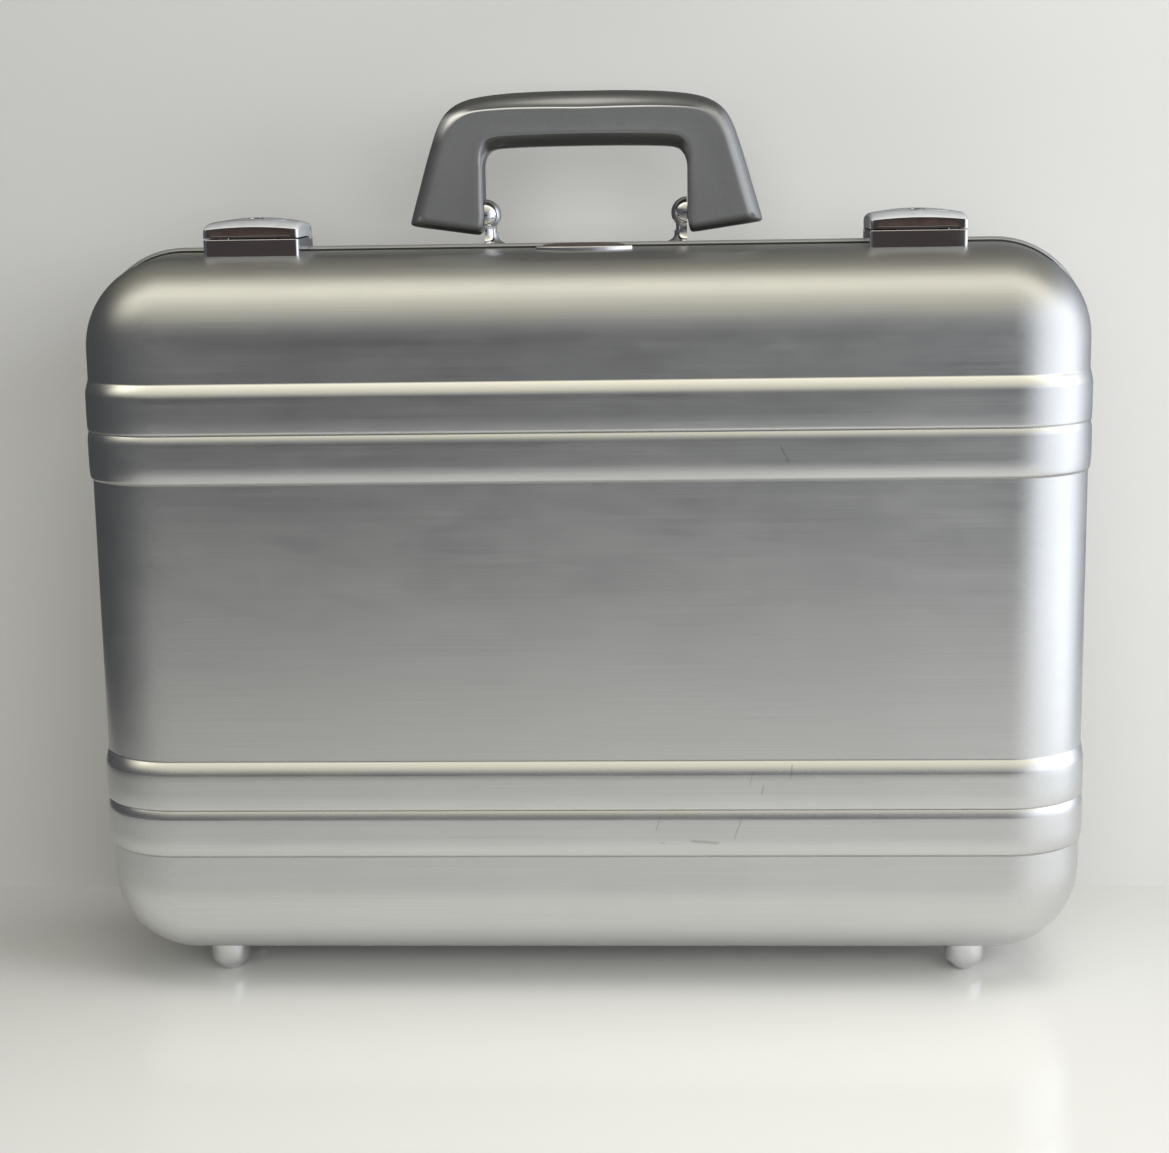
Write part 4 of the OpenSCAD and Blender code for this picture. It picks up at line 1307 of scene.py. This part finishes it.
def stitch_unit():
    """One stitch along X: a short rounded strand."""
    bm = bmesh.new()
    rows = []
    for x, r in ((-1.05, 0.04), (-0.9, 0.2), (-0.45, 0.27), (0.45, 0.27), (0.9, 0.2), (1.05, 0.04)):
        rows.append([(x, r * math.cos(a), r * math.sin(a) * 0.8)
                     for a in np.linspace(0, 2 * math.pi, 6, endpoint=False)])
    close_ends(bm, add_grid(bm, rows, closed_v=True))
    return bm


def stitch_run(start, end, step=3.1):
    """Places along a straight line of (x, y, z)."""
    a, b = np.array(start, float), np.array(end, float)
    count = max(int(np.linalg.norm(b - a) / step), 1)
    lean = math.atan2(b[2] - a[2], b[0] - a[0])
    return [(tuple(a + (b - a) * (k + 0.5) / count), (0, -lean, 0)) for k in range(count)]


def stitched_round(low, high, y, inset=4.0):
    """Places along the left, bottom, right and top seams."""
    x0, x1, z0, z1 = low[0] + inset, high[0] - inset, low[2] + inset, high[2] - inset
    runs = (((x0, y, z0), (x0, y, z1)), ((x0, y, z0), (x1, y, z0)),
            ((x1, y, z0), (x1, y, z1)), ((x0, y, z1), (x1, y, z1)))
    return [place for run in runs for place in stitch_run(*run)]


def organiser():
    pockets = (("document_pocket", (-178, -59.2, 55.95), (178, -54.4, 255.95), 1.6),
               ("accessory_pocket", (22, -54.1, 69.95), (160, -49.7, 181.95), 1.4),
               ("card_pocket", (-160, -54.1, 69.95), (-56, -50.6, 143.95), 0.8))
    for node, low, high, crown in pockets:
        piece = puffed(pillow(node + "_sewn", low, high, crown, LEATHER), low, high, 1.2)
        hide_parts(node)
        put(piece, "lid")
        y = low[1] + 0.3 + (high[1] - low[1] - crown - 0.3) * 0.65 + 0.16
        places = stitched_round(low, high, y)
        set_out(node + "_stitches", stitch_unit(), places, THREAD, "lid")
    pen_loops()


def pen_loops():
    """Three loops of leather band sewn down between them."""
    low_z, high_z = TOP_Z - 210.15, TOP_Z - 186.15
    base_y, band = -54.0, 1.2
    r = 6.4
    path = []
    for centre in (-34.0, -17.0, 0.0):
        for a in np.linspace(198, -18, 19):
            t = math.radians(a)
            path.append((centre + r * math.cos(t), base_y + 6.4 + r * math.sin(t)))
    path = [(-46.0, base_y + 0.8), (-42.5, base_y + 1.0)] + path
    path += [(8.5, base_y + 1.0), (12.0, base_y + 0.8)]
    path = [(x, max(y, base_y + 0.75)) for x, y in path]
    rows = []
    for k, (x, y) in enumerate(path):
        ahead, behind = path[min(k + 1, len(path) - 1)], path[max(k - 1, 0)]
        along = Vector((ahead[0] - behind[0], ahead[1] - behind[1])).normalized()
        out = Vector((-along.y, along.x))
        ring = []
        for z, s in ((low_z, 0.0), (low_z + 0.5, 1.0), (high_z - 0.5, 1.0), (high_z, 0.0)):
            ring.append((x + out.x * band / 2 * s, y + out.y * band / 2 * s, z))
        for z, s in ((high_z - 0.5, -1.0), (low_z + 0.5, -1.0)):
            ring.append((x + out.x * band / 2 * s, y + out.y * band / 2 * s, z))
        rows.append(ring)
    bm = bmesh.new()
    close_ends(bm, add_grid(bm, rows, closed_v=True))
    piece = from_bmesh("pen_loops_sewn", bm, LEATHER, sharp=60)
    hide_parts("pen_loops")
    put(piece, "lid")
    places = []
    for x in (-44.0, -25.5, -8.5, 10.0):
        places += stitch_run((x, base_y + 1.45, low_z + 2), (x, base_y + 1.45, high_z - 2))
    set_out("pen_loops_stitches", stitch_unit(), places, THREAD, "lid")


# ---- Pieces that keep their CAD shape

SMOOTHED = (
    (FRAME_METAL, "frame_aluminium", ("base_frame", "lid_frame")),
    (HINGE_STEEL, "hinge_steel", ("hinge_leaf_base", "hinge_leaf_lid", "hinge_pin")),
    (FASTENER_STEEL, "fastener_steel", ("handle_pivot_pins", "latch_pin_left", "latch_pin_right",
                                        "claw_pin_left", "claw_pin_right")),
)
EASED = (
    (FASTENER_STEEL, "fastener_steel", ("rear_foot_screws", "front_foot_screws", "handle_post_screws")),
    (STAY_STEEL, "stay_steel", ("stay_studs", "stay_pivots", "stay_arm_left", "stay_arm_right",
                                "stay_bracket_base_left", "stay_bracket_base_right",
                                "stay_bracket_lid_left", "stay_bracket_lid_right")),
)


def finish_case():
    rim_seal()
    handle_grip()
    for name, side in SIDES.items():
        handle_post(side, name)
    foot_set("rear_feet", 1, "base")
    foot_set("front_feet", -1, "lid")
    badge()
    rivets()
    latch_parts()
    for name, way in (("base", 1), ("lid", -1)):
        lining(name, way, name)
    organiser()
    for finish, slot_name, nodes in SMOOTHED:
        for node in nodes:
            merged(node, finish)
    for finish, slot_name, nodes in EASED:
        for node in nodes:
            put(eased(node, finish, 0.15), node_body(node))


finish_case()


# ---- Camera

CAMERA_AT = Vector((46.8, -1037.0, 384.7)) * MM
YAW, PITCH, ROLL = -0.0478, 0.1879, -0.0163
LENS, SENSOR = 68.6, 36.0


def make_camera():
    ahead = Vector((math.sin(YAW) * math.cos(PITCH), math.cos(YAW) * math.cos(PITCH), -math.sin(PITCH)))
    level = ahead.cross(Vector((0, 0, 1))).normalized()
    upright = level.cross(ahead)
    right = math.cos(ROLL) * level + math.sin(ROLL) * upright
    up = -math.sin(ROLL) * level + math.cos(ROLL) * upright
    data = bpy.data.cameras.new("camera")
    data.lens, data.sensor_width = LENS, SENSOR
    data.clip_start, data.clip_end = 0.01, 50
    camera = new_object("camera", data)
    turn = Matrix((right, up, -ahead)).transposed()
    camera.matrix_world = Matrix.Translation(CAMERA_AT) @ turn.to_4x4()
    bpy.context.scene.camera = camera


# ---- Stage and light


def stage_plane(name, corners, material):
    mesh = bpy.data.meshes.new(name)
    mesh.from_pydata([Vector(c) for c in corners], [], [(0, 1, 2, 3)])
    mesh.materials.append(material)
    plane = new_object(name, mesh)
    return plane


def floor_finish(near_x, near_y):
    """Glossy white top. Away from the case the camera alone sees it; all else sees the room."""
    f = Finish("floor_gloss", (0.8, 0.8, 0.78), 0.1)
    f.colour(f.blend(f.noise(3.0, 3.0), (0.845, 0.845, 0.82), (0.885, 0.885, 0.86)))
    f.rough(f.spread(f.noise(5.0, 4.0), 0.3, 0.7, 0.05, 0.13))
    off_x = f.calc("GREATER_THAN", f.calc("ABSOLUTE", f.along("X")), near_x)
    off_y = f.calc("LESS_THAN", f.along("Y"), -near_y)
    seen = f.node("ShaderNodeLightPath").outputs["Is Camera Ray"]
    f.clear_where(f.calc("MULTIPLY", f.calc("MAXIMUM", off_x, off_y), f.calc("SUBTRACT", 1.0, seen)))
    return f.material


def wall_finish():
    """Pale wall, shown from its front alone, so that it hides nothing in views from behind."""
    f = Finish("wall_paint", (0.9, 0.9, 0.89), 0.6)
    f.colour(f.blend(f.noise(2.0, 4.0), (0.6, 0.6, 0.592), (0.64, 0.64, 0.632)))
    f.bump(f.noise(14.0, 4.0), 0.1, 2.0)
    seen = f.node("ShaderNodeLightPath").outputs["Is Camera Ray"]
    front = f.calc("SUBTRACT", 1.0, f.node("ShaderNodeNewGeometry").outputs["Backfacing"])
    f.clear_where(f.calc("SUBTRACT", 1.0, f.calc("MULTIPLY", seen, front)))
    return f.material


def soft_light(name, place, target, size, power, colour=(1, 1, 1)):
    """A soft box that lights the scene and isn't itself seen in the metal."""
    data = bpy.data.lights.new(name, "AREA")
    data.shape = "RECTANGLE"
    data.size, data.size_y = size
    data.energy = power
    data.color = colour
    light = new_object(name, data)
    light.location = place
    light.rotation_euler = (Vector(target) - Vector(place)).to_track_quat("-Z", "Y").to_euler()
    light.visible_glossy = False


class Room(NodeSheet):
    """The room as a world: how bright it is in each direction, seen from the case."""

    def __init__(self, strength):
        world = bpy.data.worlds.new("room")
        world.use_nodes = True
        bpy.context.scene.world = world
        super().__init__(world.node_tree)
        self.background = self.nodes["Background"]
        self.background.inputs["Strength"].default_value = strength
        where = self.node("ShaderNodeTexCoord").outputs["Generated"]
        self.x, self.y, self.z = (self.axis(where, k) for k in "XYZ")

    def spread(self, value, low, high):
        made = self.node("ShaderNodeMapRange", interpolation_type="SMOOTHSTEP")
        self.links.new(value, made.inputs["Value"])
        made.inputs["From Min"].default_value = low
        made.inputs["From Max"].default_value = high
        return made.outputs["Result"]

    def ramp(self, value, stops):
        made = self.node("ShaderNodeValToRGB")
        elements = made.color_ramp.elements
        while len(elements) < len(stops):
            elements.new(0.5)
        for element, (place, colour) in zip(elements, sorted(stops)):
            element.position = place
            element.color = (*colour, 1)
        self.links.new(value, made.inputs["Fac"])
        return made.outputs["Color"]


ROOM_PEAK = 2.8
# Brightness round the horizon: degrees from straight ahead of the case, to the right
HORIZON = {-180: 0.07, -150: 0.06, -90: 0.08, -32: 0.13, 0: 0.2, 10: 0.23, 28: 0.5, 44: 1.25, 61: 1.5,
           74: 1.65, 86: 1.9, 98: 1.75, 112: 1.15, 125: 0.65, 140: 0.4, 152: 0.25, 180: 0.1}
# Brightness overhead, from the front of the room (0) to the back (1)
OVERHEAD = {0.0: 0.68, 0.1: 0.7, 0.17: 0.7, 0.25: 0.88, 0.35: 1.5, 0.45: 1.25, 0.53: 0.5, 0.68: 0.22,
            1.0: 0.15}
COOL = (0.95, 0.99, 1.05)
CREAM = (1.0, 0.96, 0.8)


def make_room():
    room = Room(ROOM_PEAK)
    front = room.calc("MULTIPLY", room.y, -1.0)
    turn = room.calc("ADD", room.calc("DIVIDE", room.calc("ARCTAN2", room.x, front), 2 * math.pi), 0.5)
    stops = [(a / 360 + 0.5, [v / ROOM_PEAK * c for c in COOL]) for a, v in HORIZON.items()]
    around = room.ramp(turn, stops)
    overhead = room.ramp(room.calc("ADD", room.calc("MULTIPLY", room.y, 0.5), 0.5), [
        (place, [level / ROOM_PEAK * c for c in CREAM]) for place, level in OVERHEAD.items()])
    colour = room.blend(room.spread(room.z, 0.3, 0.75), around, overhead)
    # Dark furniture straight ahead, at the height of the case
    low = room.spread(room.calc("ABSOLUTE", room.calc("SUBTRACT", room.z, 0.01)), 0.16, 0.07)
    left = room.spread(turn, 0.40, 0.43)
    right = room.spread(turn, 0.56, 0.54)
    dark = room.calc("MULTIPLY", low, room.calc("MULTIPLY", left, right))
    colour = room.blend(dark, colour, [v / ROOM_PEAK for v in (0.06, 0.05, 0.047)])
    room.links.new(colour, room.background.inputs["Color"])
    # Matt surfaces are lit mostly by the soft boxes
    matt = room.node("ShaderNodeLightPath").outputs["Is Diffuse Ray"]
    room.links.new(room.calc("SUBTRACT", ROOM_PEAK, room.calc("MULTIPLY", matt, ROOM_PEAK * 0.6)),
                   room.background.inputs["Strength"])


def make_stage():
    wall_y, reach = 0.1, 6.0
    stage_plane("floor", [(-reach, -reach, 0), (reach, -reach, 0), (reach, reach, 0), (-reach, reach, 0)],
                floor_finish(0.6, 0.68))
    stage_plane("wall", [(-reach, wall_y, 0), (reach, wall_y, 0), (reach, wall_y, reach),
                         (-reach, wall_y, reach)], wall_finish())
    soft_light("window_right", (1.15, -0.75, 0.75), (0.0, 0.0, 0.2), (0.6, 0.8), 9, (0.98, 0.99, 1.0))
    soft_light("fill_front", (0.25, -1.6, 0.6), (0.1, -0.3, 0.0), (1.6, 0.8), 13, (1.0, 0.993, 0.97))
    soft_light("ceiling", (0.45, -0.25, 1.5), (0.2, -0.05, 0.0), (1.6, 0.9), 11, (1.0, 0.99, 0.97))
    make_room()


make_camera()
make_stage()
bpy.context.scene.view_settings.view_transform = "Standard"

bpy.context.view_layer.update()
